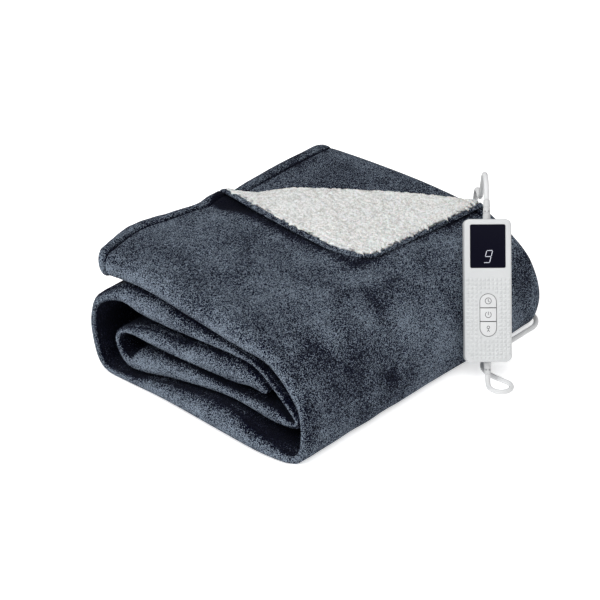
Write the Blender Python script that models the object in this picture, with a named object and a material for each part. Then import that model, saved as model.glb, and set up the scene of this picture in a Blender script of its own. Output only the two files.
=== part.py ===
"""Electric heated blanket, folded up, with its handset, its leads and its plug.

Metres, +Z up.  The blanket is one cloth.  It is folded in thirds across its width, like a
letter, and the strip that this makes is then rolled flat in five passes.  The long side of
the bundle runs along X, the layered end with the round folds is at -X, and the smooth front
is at -Y.  The origin is on the floor, under the middle of the bundle and the handset.
"""
import bisect
import math
from collections import namedtuple

import bmesh
import bpy
from mathutils import Matrix, Vector

MM = 0.001
GAP = 0.3 * MM                       # between two pieces that touch

# ---------------------------------------------------------------- driving sizes
BUNDLE_LENGTH = 410 * MM             # along X, the width of the folded strip
HALF = BUNDLE_LENGTH / 2
ORIGIN = (-3.9 * MM, 138.8 * MM)        # the origin's place, from the middle of the front foot

# Letter fold: share of the strip's thickness that each layer and each air gap takes.
LAYER_SHARE = 0.29
AIR_SHARE = (1 - 3 * LAYER_SHARE) / 2
HEM_INSET = 8 * MM                   # the free long hem stops short of the back fold
INNER_HEM_INSET = 30 * MM            # the tucked long hem stops short of the front fold
HEM_WIDTH = 9 * MM                   # the plush face turned round the edge
HEM_SWELL = 21 * MM                  # the top end hem bows out by this much
HEM_SWELL_X = -136 * MM
HEM_SWELL_SPAN = 54 * MM
HEM_SWELL_DEPTH = 70 * MM

# The roll, from the free end hem on top to the tucked end inside.  Each row is one knot of
# the strip's outer face in millimetres: its place and the strip's thickness at the layered
# end (y, z, thick) and at the far end, and how far each end of the strip stands out there.
Knot = namedtuple("Knot", "y z thick far_y far_z far_thick reach far_reach", defaults=(0, 0))
ROLL = {
    "top pass": (
        Knot(299, 146, 19, 333, 140, 16, 1, 3),
        Knot(282, 149, 26, 315, 144, 23, 0, 5),
        Knot(227, 147, 25, 250, 144.5, 25, 0, 6),
        Knot(152, 137, 26, 165, 142.5, 27, 0, 6),
        Knot(84, 125, 24, 90, 136, 26, 0, 3),
        Knot(56, 119, 20, 52, 126, 22, 0, -2),
    ),
    "down the front": (
        Knot(34, 108, 17, 24, 111, 18, 0, -2),
        Knot(14, 86, 12, 4, 89, 14, 0, 3),
        Knot(-1, 61, 9, -9, 60, 12, 0, 6),
        Knot(-6, 36, 8, -13, 34, 10, 2, 7),
        Knot(-7, 14, 8, -11, 13, 9, 5, 4),
    ),
    "floor pass": (
        Knot(-2, 2.5, 8, -5, 2.5, 9, 9, 2),
        Knot(9, 0, 11, 8, 0, 12, 15, 0),
        Knot(50, 0, 22, 50, 0, 24, 20, 0),
        Knot(106, 0, 33, 110, 0, 27, 18, 0),
        Knot(194, 0, 21, 200, 0, 23, 9, 0),
        Knot(250, 0, 10.5, 270, 0, 14, 6, 0),
    ),
    "up the back": (
        Knot(288, 1, 8, 318, 1, 9, 5, 0),
        Knot(306, 13, 8, 338, 14, 9, 4),
        Knot(314, 40, 8.5, 345, 42, 9, 4),
        Knot(315, 64, 8.5, 345, 68, 9, 4),
        Knot(306, 90, 9, 333, 93, 11, 3),
    ),
    "second pass": (
        Knot(276, 111, 17, 305, 110, 17),
        Knot(240, 119, 31, 260, 113, 25),
        Knot(190, 114.5, 28, 200, 113, 25),
        Knot(140, 106.5, 17, 150, 111, 21),
        Knot(90, 99, 7, 95, 106, 14),
    ),
    "down inside": (
        Knot(62, 94, 6, 58, 99, 9),
        Knot(36, 76, 6, 28, 84, 8),
        Knot(16, 59, 6, 11, 62, 8),
        Knot(6, 46, 5, 3.5, 47, 6),
    ),
    "fourth pass": (
        Knot(14, 36.5, 6.5, 12, 36, 7.5),
        Knot(42, 31, 18, 44, 29, 16),
        Knot(106, 37.5, 12, 110, 31, 18),
        Knot(194, 24.5, 25, 200, 27, 21),
        Knot(243, 14, 29, 262, 18, 21),
    ),
    "up inside": (
        Knot(265, 19, 13, 292, 21, 12),
        Knot(278, 38, 6.5, 308, 40, 8),
        Knot(278, 54, 6.5, 307, 58, 8),
        Knot(262, 66, 6.5, 288, 70, 9),
    ),
    "third pass": (
        Knot(228, 75, 18, 245, 76, 17),
        Knot(180, 78, 23, 190, 78, 20),
        Knot(106, 86, 31, 110, 82, 22),
        Knot(72, 82.5, 24, 74, 80, 20),
        Knot(48, 68, 9, 48, 70, 10),
    ),
}
STATION_STEP = 34 * MM               # longest step between two sections of the strip
STATION_TURN = math.radians(24)      # largest turn between two sections
OUTER_COLUMNS = (0.0, 0.06, 0.17, 0.31, 0.46, 0.62, 0.79, 0.93, 1.0)
INNER_COLUMNS = (0.0, 0.12, 0.34, 0.58, 0.82, 1.0)
FOLD_STEPS = 4

# The turned-over corner of the top layer.  In the plane of the top layer, x runs along the
# bundle and q is the way along the strip from the end hem.
Plane = namedtuple("Plane", "x q")
TURN_START = Plane(0 * MM, 0 * MM)           # the fold line leaves the end hem here
TURN_END = Plane(199 * MM, 254 * MM)         # and meets the long hem here
TURNED_TIP = Plane(-19 * MM, 245 * MM)       # where the corner comes to lie
END_HEM_BOW = 9 * MM                         # the turned end hem bows out, towards -X
LONG_HEM_BOW = -2 * MM                       # the turned long hem bows in
CORNER_ROUND = 27 * MM                       # the radius of the cloth's corner
TURN_RADIUS = 2.0 * MM                       # air inside the turn
TURN_CLOTH = 3.5 * MM                        # half the cloth, on the way round the turn
TURN_CUTS = 5
FLAP_REST = 1.0 * MM                         # air under the corner away from the turn
FLAP_SETTLE = 45 * MM                        # way over which it comes to rest
FACE_DEPTH = 0.55                            # of the cloth is plush where the lining is a piece
LINING_FROM, LINING_TO = 0.62, 1.05          # the depths of the lining where it shows
LINING_GAP = 1.2 * MM                        # between the lining and the hem

# The handset, in its own frame: x to the right, y up its length, z out of its face.
HANDSET = (53 * MM, 160 * MM, 20 * MM)
HANDSET_CENTRE = (81.2 * MM, -25.7 * MM, 99.9 * MM)   # of its face, from the front foot
HANDSET_TURN = math.radians(-48)
HANDSET_LEAN = math.radians(28)
HANDSET_CORNER = 6.5 * MM
HANDSET_EDGE = 2.2 * MM
SHELL_SPLIT = -9 * MM                        # where the front and the back shell meet
WINDOW = (39.4 * MM, 48.4 * MM, 1.2 * MM)
WINDOW_Y = 49.6 * MM
WINDOW_CORNER = 1.6 * MM
KEY_PAD = (18.6 * MM, 47.8 * MM)
KEY_PAD_Y = -27.5 * MM
KEY_SPLITS = (8.1 * MM, -7.2 * MM)           # the lines between the keys, from the pad's middle
KEY_RISE = 0.6 * MM
KEY_DEPTH = 2.6 * MM
KEY_TRAVEL = 0.6 * MM
KEY_EDGE = 0.35 * MM
WINDOW_EDGE = 0.2 * MM
CUT_HEIGHT = 1 * MM                          # the cutters stand this far out of the face

# Leads, strain reliefs, coil and plug, in millimetres from the middle of the front foot.
LEAD_DIAMETER = 6 * MM
LEAD_POINT_STEP = 9 * MM
RELIEF_WIDE, RELIEF_SLIM = 4.4 * MM, 3.7 * MM
RELIEF_GROOVE = 0.6 * MM                     # depth and half width of its grooves
RELIEF_STEPS, COIL_STEPS, PIN_STEPS = 14, 40, 12
MAINS_RELIEF, BLANKET_RELIEF, PLUG_RELIEF, INLET_RELIEF = 22 * MM, 13.5 * MM, 24 * MM, 16 * MM
COIL_CENTRE = (282, 200)
COIL_FLOOR = 1.6 * MM
COIL_INNER, COIL_OUTER, COIL_HEIGHT = 25.3 * MM, 44.3 * MM, 12.6 * MM
COIL_EDGE = 2.5 * MM
TIE_BAND, TIE_THICK = 8 * MM, 0.9 * MM
TIE_PLAY = 2.2 * MM                          # the strap's inside is wider than the coil
TIE_ANGLE = math.radians(60)
LEAD_STRAIGHT = 3 * MM               # the first and last stretch of each lead
MAINS_ROUTE = (
    (131, 18.9, 198.2), (138.3, 25.3, 202.7), (146.5, 32.4, 202.4), (153.5, 38.6, 197.8),
    (157.9, 42.5, 190.6), (163.8, 47.7, 177.6), (169.7, 52.8, 165.2), (174.2, 56.8, 158.6),
    (179.7, 61.6, 154.5), (186, 67.1, 152.7), (194.3, 74.3, 151.2), (201.1, 80.3, 149.5),
    (207.3, 85.7, 146.6), (212.8, 90.6, 141.4), (216.8, 94.1, 134.2), (219.1, 96.1, 125),
    (221.3, 98.2, 108), (226, 101.2, 84), (231.5, 105.5, 59), (236, 111, 38), (238.3, 122, 19),
    (238.3, 140, 8), (236, 160, 5), (234.6, 180, 4.9), (234.4, 197, 4.9), (234.4, 200, 4.9),
)
BLANKET_ROUTE = (
    (52, -52, 5.9), (49.1, -54.7, 3.9), (46.2, -57.9, 3.1), (43.9, -62.2, 3.1),
    (43.1, -67.2, 3.1), (44.3, -72.4, 3.1), (47.6, -76.6, 3.1), (52.5, -79, 3.1),
    (57.9, -79.2, 3.1), (62.8, -77, 3.1), (66.3, -72.9, 3.1), (67.7, -67.6, 3.1),
    (67.7, -58, 3.1), (68, -48, 3.1), (70, -38, 3.1), (74.5, -29.5, 3.1), (82.5, -22.5, 3.1),
    (93.5, -18.3, 3.1), (108, -16, 3.1), (128, -15, 3.1), (152, -14.6, 3.1), (177, -14.6, 3.1),
    (197, -13.9, 3.1), (212, -5, 3.1), (219, 9, 3.1), (219.8, 30, 3.1), (219.3, 50, 3.1),
    (219, 75, 3.1), (218, 110, 3.1), (216, 150, 3.1), (214.5, 190, 3.8), (214, 220, 7.6),
    (214, 240.4, 8.8), (214, 243.4, 8.8),
)
PLUG_ROUTE = (
    (329.8, 206, 9), (329.8, 203, 9), (329.8, 187, 9), (329.8, 172, 9.3), (326.1, 158.3, 10.6),
    (316.1, 148.3, 13), (302.4, 144.6, 16), (288.7, 148.3, 19), (278.7, 158.3, 21),
    (275, 172, 21.5), (275, 175, 21.5),
)
PLUG_BODY = (35 * MM, 34 * MM, 13.6 * MM)
PLUG_CORNER, PLUG_EDGE, PLUG_NOSE = 5 * MM, 1.5 * MM, 5 * MM
PLUG_PIN = (4 * MM, 19 * MM)
PLUG_PIN_SPACING = 18.6 * MM
INLET = (12 * MM, 42 * MM, 17 * MM)
INLET_CORNER, INLET_EDGE = 3 * MM, 1.5 * MM
INLET_START = (208, 260, 0.3)              # its corner nearest the cloth and the relief


# ---------------------------------------------------------------- the strip's path
def catmull_rom(before, start, end, after, part):
    """One number between start and end on a smooth curve through its four neighbours."""
    return 0.5 * (
        2 * start
        + (end - before) * part
        + (2 * before - 5 * start + 4 * end - after) * part ** 2
        + (3 * start - before - 3 * end + after) * part ** 3
    )


class RollPath:
    """The outer face of the rolled strip, as sections along its way."""

    FINE = 16                        # samples between two knots

    def __init__(self):
        """Read the knots, then sample them finely for lengths and tangents."""
        self.knots = [knot for rows in ROLL.values() for knot in rows]
        self.spans = len(self.knots) - 1
        self.samples = [self.knot_at(step / self.FINE) for step in range(self.spans * self.FINE + 1)]
        self.way = [0.0]
        for one, two in zip(self.samples, self.samples[1:]):
            near = math.hypot(two.y - one.y, two.z - one.z)
            far = math.hypot(two.far_y - one.far_y, two.far_z - one.far_z)
            self.way.append(self.way[-1] + MM * (near + far) / 2)
        self.length = self.way[-1]

    def knot_at(self, place):
        """The knot at a place counted in spans, between the given ones."""
        index = min(int(place), self.spans - 1)
        around = [self.knots[min(max(index + shift, 0), self.spans)] for shift in (-1, 0, 1, 2)]
        return Knot(*(catmull_rom(*values, place - index) for values in zip(*around)))

    def sample_at(self, way):
        """The knot at a way along the strip."""
        way = min(max(way, 0.0), self.length)
        high = max(bisect.bisect_left(self.way, way), 1)
        low = high - 1
        part = (way - self.way[low]) / (self.way[high] - self.way[low])
        pairs = zip(self.samples[low], self.samples[high])
        return Knot(*(one + (two - one) * part for one, two in pairs))

    def section(self, way, along):
        """The strip's outer point, outward direction and thickness, as (y, z), (y, z), thick.

        along runs from 0 at the layered end to 1 at the far end.
        """
        y, z, thick = self.blend(self.sample_at(way), along)
        ahead = self.blend(self.sample_at(way + 2 * MM), along)
        behind = self.blend(self.sample_at(way - 2 * MM), along)
        run_y, run_z = ahead[0] - behind[0], ahead[1] - behind[1]
        size = math.hypot(run_y, run_z)
        return (y, z), (run_z / size, -run_y / size), thick

    @staticmethod
    def blend(knot, along):
        """The knot between the two ends, as (y, z, thick)."""
        along = min(max(along, 0.0), 1.0)
        ease = along * along * (3 - 2 * along)
        pairs = ((knot.y, knot.far_y), (knot.z, knot.far_z), (knot.thick, knot.far_thick))
        y, z, thick = (MM * (near + (far - near) * ease) for near, far in pairs)
        return y, max(z, 0.0), thick

    def stations(self):
        """The ways at which the cloth gets a row of points."""
        rows = [0.0, HEM_WIDTH]
        heading = 0.0
        for index in range(1, len(self.samples)):
            one, two = self.samples[index - 1], self.samples[index]
            angle = math.atan2(two.z - one.z, two.y - one.y)
            if self.way[index] <= HEM_WIDTH:
                heading = angle
                continue
            turned = abs(math.remainder(angle - heading, 2 * math.pi))
            if self.way[index] - rows[-1] > STATION_STEP or turned > STATION_TURN:
                rows.append(self.way[index])
                heading = angle
        if self.length - rows[-1] < STATION_STEP / 3:
            rows.pop()
        return rows + [self.length]


PATH = RollPath()


# ---------------------------------------------------------------- the turned corner
class CornerTurn:
    """The fold line of the corner, and where the cloth beyond it comes to lie."""

    def __init__(self, corner):
        """Find the fold line's direction, and the stretch that brings the corner to its tip."""
        run_x, run_q = TURN_END.x - TURN_START.x, TURN_END.q - TURN_START.q
        size = math.hypot(run_x, run_q)
        self.line = (run_x / size, run_q / size)
        self.across = (self.line[1], -self.line[0])
        self.corner_along, self.corner_away = self.split(*corner)
        tip_along, tip_away = self.split(*TURNED_TIP)
        self.roll = math.pi * (TURN_RADIUS + TURN_CLOTH)
        self.stretch = (self.roll - tip_away) / self.corner_away
        self.shear = (tip_along - self.corner_along) / self.corner_away
        self.line_length = size

    def split(self, x, q):
        """A point's way along the fold line and its distance beyond it."""
        dx, dq = x - TURN_START.x, q - TURN_START.q
        return dx * self.line[0] + dq * self.line[1], dx * self.across[0] + dq * self.across[1]

    def bows(self, along, away):
        """How far the turned hems bow out from the straight lines to their tip, in x and q."""
        part = min(max(away / self.corner_away, 0.0), 1.0)
        low = self.corner_along * part
        high = self.line_length + (self.corner_along - self.line_length) * part
        side = min(max((along - low) / max(high - low, MM), 0.0), 1.0)
        bow = math.sin(math.pi * part)
        return -END_HEM_BOW * bow * (1 - side) ** 2, LONG_HEM_BOW * bow * side ** 2

    def turned(self, x, q, depth):
        """The new x and q of a point beyond the line, and its height over the top layer."""
        along, away = self.split(x, q)
        bow_x, bow_q = self.bows(along, away)
        along += away * self.shear
        away *= self.stretch
        radius = TURN_RADIUS + depth
        if away < self.roll:
            angle = math.pi * away / self.roll
            away = radius * math.sin(angle)
            lift = TURN_RADIUS - radius * math.cos(angle)
        else:
            away = self.roll - away
            settle = math.exp(away / FLAP_SETTLE)
            lift = FLAP_REST + (2 * TURN_RADIUS - FLAP_REST) * settle + depth
        x = TURN_START.x + along * self.line[0] + away * self.across[0]
        q = TURN_START.q + along * self.line[1] + away * self.across[1]
        return x + bow_x, q + bow_q, lift


TURN = CornerTurn(Plane(HALF - HEM_INSET, 0.0))


# ---------------------------------------------------------------- the letter fold
class LetterFold:
    """Where a point of the flat cloth comes to lie in the folded strip.

    The cloth's own coordinates are s, across its width from the free long hem, and q, along
    its length from the end hem.  depth is 0 on the plush face and 1 on the fleece lining.
    """

    PANEL = BUNDLE_LENGTH - 20 * MM
    FOLD_WAY = 30 * MM               # cloth taken by each of the two folds

    def __init__(self):
        """Lay out the three thirds and the two folds across the width."""
        self.outer = (0.0, self.PANEL)
        self.front_fold = (self.outer[1], self.outer[1] + self.FOLD_WAY)
        self.inner = (self.front_fold[1], self.front_fold[1] + self.PANEL)
        self.back_fold = (self.inner[1], self.inner[1] + self.FOLD_WAY)
        self.middle = (self.back_fold[1], self.back_fold[1] + self.PANEL - INNER_HEM_INSET)
        self.width = self.middle[1]

    @staticmethod
    def part(span, s):
        """How far s is through a span, from 0 to 1."""
        return (s - span[0]) / (span[1] - span[0])

    def columns(self):
        """The places across the width at which the cloth gets a column of points."""
        fold_parts = [step / FOLD_STEPS for step in range(1, FOLD_STEPS)]
        layout = (
            (self.outer, OUTER_COLUMNS), (self.front_fold, fold_parts), (self.inner, INNER_COLUMNS),
            (self.back_fold, fold_parts), (self.middle, INNER_COLUMNS),
        )
        places = [low + (high - low) * part for (low, high), parts in layout for part in parts]
        return sorted(places + [HEM_WIDTH])

    def locate(self, s, q, depth):
        """The cloth point's x and its share through the strip's thickness."""
        knot = PATH.sample_at(q)
        thick = PATH.blend(knot, 0.5)[2]
        front = -HALF + 0.4 * thick - MM * knot.reach
        back = HALF - 0.25 * thick + MM * knot.far_reach
        if s <= self.outer[1]:
            hem = HALF - HEM_INSET + MM * knot.far_reach
            return hem + (front - hem) * self.part(self.outer, s), LAYER_SHARE * depth
        if s < self.inner[0]:
            turn = math.pi * self.part(self.front_fold, s)
            reach = 0.5 - LAYER_SHARE * depth
            return front - reach * thick * math.sin(turn), 0.5 - reach * math.cos(turn)
        if s <= self.inner[1]:
            return front + (back - front) * self.part(self.inner, s), 1 - LAYER_SHARE * depth
        if s < self.middle[0]:
            turn = math.pi * self.part(self.back_fold, s)
            middle = 1 - LAYER_SHARE - AIR_SHARE / 2
            reach = LAYER_SHARE * (1 - depth) + AIR_SHARE / 2
            return back + reach * thick * math.sin(turn), middle + reach * math.cos(turn)
        hem = -HALF + INNER_HEM_INSET
        share = LAYER_SHARE + AIR_SHARE + LAYER_SHARE * depth
        return back + (hem - back) * self.part(self.middle, s), share

    @staticmethod
    def rounded(s, q):
        """The flat point, drawn in where it lies at the cloth's rounded corner."""
        side, end = 1 - s / CORNER_ROUND, 1 - q / CORNER_ROUND
        if side <= 0 or end <= 0:
            return s, q
        new_side = side * math.sqrt(1 - end ** 2 / 2)
        new_end = end * math.sqrt(1 - side ** 2 / 2)
        return CORNER_ROUND * (1 - new_side), CORNER_ROUND * (1 - new_end)

    def place(self, s, q, depth):
        """The cloth point in space."""
        s, q = self.rounded(s, q)
        x, share = self.locate(s, q, depth)
        lift = 0.0
        if s <= self.outer[1] and TURN.split(x, q)[1] > 0:
            thick = PATH.blend(PATH.sample_at(q), self.along(x))[2]
            x, q, lift = TURN.turned(x, q, LAYER_SHARE * thick * depth)
            share = 0.0
        (y, z), (out_y, out_z), thick = PATH.section(q, self.along(x))
        rise = lift - share * thick
        swell = HEM_SWELL * math.exp(-((x - HEM_SWELL_X) / HEM_SWELL_SPAN) ** 2)
        y += swell * math.exp(-max(q, 0.0) / HEM_SWELL_DEPTH)
        return from_foot(x, y + out_y * rise, z + out_z * rise)

    @staticmethod
    def along(x):
        """How far x is from the layered end to the far end, from 0 to 1."""
        return min(max((x + HALF) / BUNDLE_LENGTH, 0.0), 1.0)


def from_foot(x, y, z):
    """A point measured from the middle of the front foot, in the part's own frame."""
    return Vector((x - ORIGIN[0], y - ORIGIN[1], z))


FOLD = LetterFold()


# ---------------------------------------------------------------- helpers
def clear_scene():
    """Remove whatever the file opened with."""
    for thing in list(bpy.data.objects):
        bpy.data.objects.remove(thing, do_unlink=True)


def finish_material(name, colour, roughness, metallic=0.0):
    """A Principled material of one colour."""
    material = bpy.data.materials.new(name)
    material.use_nodes = True
    shader = material.node_tree.nodes["Principled BSDF"]
    shader.inputs["Base Color"].default_value = (*colour, 1.0)
    shader.inputs["Roughness"].default_value = roughness
    shader.inputs["Metallic"].default_value = metallic
    return material


def add_object(name, bm, material, place=Matrix.Identity(4)):
    """Turn a bmesh into a named object with its material, standing at a place."""
    mesh = bpy.data.meshes.new(name)
    bmesh.ops.recalc_face_normals(bm, faces=bm.faces)
    bm.to_mesh(mesh)
    bm.free()
    thing = bpy.data.objects.new(name, mesh)
    thing.matrix_world = place
    bpy.context.collection.objects.link(thing)
    mesh.materials.append(material)
    mesh.shade_smooth()
    mesh.set_sharp_from_angle(angle=math.radians(40))
    return thing


def corner_outline(width, height, radii, steps=4):
    """A rectangle with rounded corners, given from the upper right one round to the left."""
    points = []
    signs = ((1, 1), (-1, 1), (-1, -1), (1, -1))
    for quarter, ((sign_x, sign_y), radius) in enumerate(zip(signs, radii)):
        middle_x, middle_y = sign_x * (width / 2 - radius), sign_y * (height / 2 - radius)
        count = steps if radius > 0 else 0
        for step in range(count + 1):
            angle = math.pi / 2 * (quarter + (step / count if count else 0.5))
            points.append((middle_x + radius * math.cos(angle), middle_y + radius * math.sin(angle)))
    return points


def slab(outline, low, high, edge=0.0, low_edge=0.0, segments=2):
    """A plate between two heights, its rims rounded by the given edge sizes."""
    bm = bmesh.new()
    face = bm.faces.new([bm.verts.new((x, y, low)) for x, y in outline])
    raised = bmesh.ops.extrude_face_region(bm, geom=[face], use_keep_orig=True)
    top = [item for item in raised["geom"] if isinstance(item, bmesh.types.BMVert)]
    bmesh.ops.translate(bm, verts=top, vec=(0, 0, high - low))
    for height, size in ((high, edge), (low, low_edge)):
        if size > 0:
            rim = [item for item in bm.edges if all(abs(v.co.z - height) < 1e-7 for v in item.verts)]
            bmesh.ops.bevel(bm, geom=rim, offset=size, segments=segments, profile=0.5,
                            affect="EDGES", clamp_overlap=True, material=-1)
    return bm


def lathe(profile, steps, closed=False):
    """A profile of (radius, height) points turned round the z axis."""
    bm = bmesh.new()
    points = [bm.verts.new((radius, 0, height)) for radius, height in profile]
    ends = points[1:] + points[:1] if closed else points[1:]
    edges = [bm.edges.new(pair) for pair in zip(points, ends)]
    bmesh.ops.spin(bm, geom=points + edges, cent=(0, 0, 0), axis=(0, 0, 1),
                   angle=2 * math.pi, steps=steps, use_merge=True)
    bmesh.ops.remove_doubles(bm, verts=bm.verts, dist=1e-6)
    return bm


def smooth_route(points, step):
    """Points on a smooth curve through the given ones.

    They are evenly spaced, but for the first and the last stretch, which stay straight.
    """
    points = [Vector(point) for point in points]
    fine = []
    for around in zip(points, points[1:], points[2:], points[3:]):
        for part in range(12):
            fine.append(Vector([catmull_rom(*values, part / 12) for values in zip(*around)]))
    fine.append(points[-2])
    way = [0.0]
    for one, two in zip(fine, fine[1:]):
        way.append(way[-1] + (two - one).length)
    count = round(way[-1] / step)
    even = [points[0]]
    for index in range(count + 1):
        wanted = way[-1] * index / count
        high = min(max(bisect.bisect_left(way, wanted), 1), len(way) - 1)
        part = (wanted - way[high - 1]) / (way[high] - way[high - 1])
        even.append(fine[high - 1].lerp(fine[high], part))
    return even + [points[-1]]


def add_tube(name, points, material):
    """A lead: a round tube along a smooth curve through its route's points."""
    curve = bpy.data.curves.new(name, "CURVE")
    curve.dimensions = "3D"
    curve.bevel_depth = LEAD_DIAMETER / 2
    curve.bevel_resolution = 2
    curve.use_fill_caps = True
    spline = curve.splines.new("POLY")
    route = smooth_route(points, LEAD_POINT_STEP)
    spline.points.add(len(route) - 1)
    for spot, point in zip(spline.points, route):
        spot.co = (*point, 1)
    thing = bpy.data.objects.new(name, curve)
    bpy.context.collection.objects.link(thing)
    curve.materials.append(material)


def frame_at(origin, z_axis, y_hint=(0, 0, 1)):
    """A placing matrix whose z axis points the given way."""
    z_axis = Vector(z_axis).normalized()
    x_axis = Vector(y_hint).cross(z_axis).normalized()
    y_axis = z_axis.cross(x_axis)
    turn = Matrix((x_axis, y_axis, z_axis)).transposed().to_4x4()
    return Matrix.Translation(origin) @ turn


# ---------------------------------------------------------------- the blanket
def cut_across(bm, faces, point, normal, **clear):
    """Split the given flat faces along one straight line."""
    geometry = list({item for face in faces for item in (face, *face.edges, *face.verts)})
    bmesh.ops.bisect_plane(bm, geom=geometry, dist=1e-6, plane_co=point, plane_no=normal, **clear)


def turn_line(part):
    """A point and the normal, in the flat cloth, of a line along the corner's turn.

    part is 0 where the turn starts and 1 where it ends.
    """
    away = TURN.roll * part / TURN.stretch
    hem = HALF - HEM_INSET
    point = (hem - TURN_START.x - away * TURN.across[0], away * TURN.across[1], 0)
    return point, (-TURN.across[0], TURN.across[1], 0)


def flat_cloth():
    """The cloth laid flat, one face for each step of the folds, the passes and the turn."""
    bm = bmesh.new()
    corners = [(0, 0), (FOLD.width, 0), (FOLD.width, PATH.length), (0, PATH.length)]
    bm.faces.new([bm.verts.new((s, q, 0)) for s, q in corners])
    for place in FOLD.columns()[1:-1]:
        cut_across(bm, bm.faces, (place, 0, 0), (1, 0, 0))
    for way in PATH.stations()[1:-1]:
        cut_across(bm, bm.faces, (0, way, 0), (0, 1, 0))
    for step in range(TURN_CUTS):
        cut_across(bm, [face for face in bm.faces if near_corner(face)],
                   *turn_line(step / (TURN_CUTS - 1)))
    return bm


def near_corner(face):
    """Whether a flat face lies in the part of the top layer that the fold line crosses."""
    middle = face.calc_center_median()
    return middle.x < FOLD.outer[1] and middle.y < TURN_END.q + 2 * STATION_STEP


def in_turned_field(s, q):
    """Whether a flat point lies beyond the start of the turn and inside the hems."""
    if s > FOLD.outer[1] or s < HEM_WIDTH - GAP or q < HEM_WIDTH - GAP:
        return False
    away = TURN.split(HALF - HEM_INSET - s, q)[1]
    return away > TURN.roll / TURN.stretch / TURN_CUTS


def thicken(bm, lower, upper):
    """Give flat cloth its two faces, at the depths that two functions of (s, q) return."""
    layer = bmesh.ops.extrude_face_region(bm, geom=bm.faces[:], use_keep_orig=True)
    raised = {item for item in layer["geom"] if isinstance(item, bmesh.types.BMVert)}
    for vert in bm.verts:
        s, q, _ = vert.co
        vert.co = FOLD.place(s, q, upper(s, q) if vert in raised else lower(s, q))
    bmesh.ops.triangulate(bm, faces=bm.faces)


def build_blanket(material):
    """The blanket: one cloth, plush outside, brought into all its folds."""
    bm = flat_cloth()
    thicken(bm, lambda s, q: 0.0, lambda s, q: FACE_DEPTH if in_turned_field(s, q) else 1.0)
    add_object("blanket", bm, material)


def build_lining(material):
    """The fleece lining, where the turned corner shows it."""
    bm = bmesh.new()
    start, end = HEM_WIDTH + LINING_GAP, TURN_END.q + STATION_STEP
    corners = [(start, start), (FOLD.outer[1], start), (FOLD.outer[1], end), (start, end)]
    bm.faces.new([bm.verts.new((s, q, 0)) for s, q in corners])
    cut_across(bm, bm.faces, *turn_line(1 / (TURN_CUTS - 1)), clear_inner=True)
    for place in FOLD.columns():
        if start < place - LINING_GAP and place < FOLD.outer[1]:
            cut_across(bm, bm.faces, (place, 0, 0), (1, 0, 0))
    for way in PATH.stations():
        if start < way - LINING_GAP and way < end:
            cut_across(bm, bm.faces, (0, way, 0), (0, 1, 0))
    for step in range(2, TURN_CUTS):
        cut_across(bm, bm.faces, *turn_line(step / (TURN_CUTS - 1)))
    thicken(bm, lambda s, q: LINING_FROM, lambda s, q: LINING_TO)
    add_object("sherpa_lining", bm, material)


# ---------------------------------------------------------------- the handset
def handset_place():
    """The handset's own frame, leaning back against the front of the bundle."""
    right = Vector((math.cos(HANDSET_TURN), math.sin(HANDSET_TURN), 0))
    level = Vector((math.sin(HANDSET_TURN), -math.cos(HANDSET_TURN), 0))
    out = level * math.cos(HANDSET_LEAN) + Vector((0, 0, math.sin(HANDSET_LEAN)))
    turn = Matrix((right, out.cross(right), out)).transposed().to_4x4()
    return Matrix.Translation(from_foot(*HANDSET_CENTRE)) @ turn


PLACE = handset_place()


def add_cutter(name, bm, target):
    """A hidden shape that is cut out of another object."""
    cutter = add_object(name, bm, target.data.materials[0], PLACE)
    cutter.hide_render = True
    cutter.display_type = "WIRE"
    cut = target.modifiers.new(name, "BOOLEAN")
    cut.operation = "DIFFERENCE"
    cut.solver = "EXACT"
    cut.object = cutter


def shift(bm, x=0.0, y=0.0, z=0.0):
    """Move a whole bmesh and hand it back."""
    bmesh.ops.translate(bm, verts=bm.verts, vec=(x, y, z))
    return bm


def build_shells(material):
    """The handset's two shells, with the pockets of the window and the keys."""
    width, height, depth = HANDSET
    outline = corner_outline(width, height, [HANDSET_CORNER] * 4, steps=5)
    back = slab(outline, -depth, SHELL_SPLIT - GAP / 2, low_edge=HANDSET_EDGE)
    add_object("handset_back", back, material, PLACE)
    front = add_object("handset_front", slab(outline, SHELL_SPLIT + GAP / 2, 0.0, edge=HANDSET_EDGE),
                       material, PLACE)
    window = corner_outline(WINDOW[0] + 2 * GAP, WINDOW[1] + 2 * GAP, [WINDOW_CORNER + GAP] * 4)
    pocket = slab(window, -WINDOW[2] - 2 * GAP, CUT_HEIGHT)
    add_cutter("window_pocket", shift(pocket, y=WINDOW_Y), front)
    pad = corner_outline(KEY_PAD[0] + 2 * GAP, KEY_PAD[1] + 2 * GAP, [KEY_PAD[0] / 2 + GAP] * 4, 6)
    pocket = slab(pad, KEY_RISE - KEY_DEPTH - KEY_TRAVEL - GAP, CUT_HEIGHT)
    add_cutter("key_pocket", shift(pocket, y=KEY_PAD_Y), front)


def build_window(material):
    """The dark window over the display."""
    plate = slab(corner_outline(WINDOW[0], WINDOW[1], [WINDOW_CORNER] * 4),
                 -WINDOW[2] - GAP, -GAP, edge=WINDOW_EDGE)
    add_object("display_window", shift(plate, y=WINDOW_Y), material, PLACE)


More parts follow.
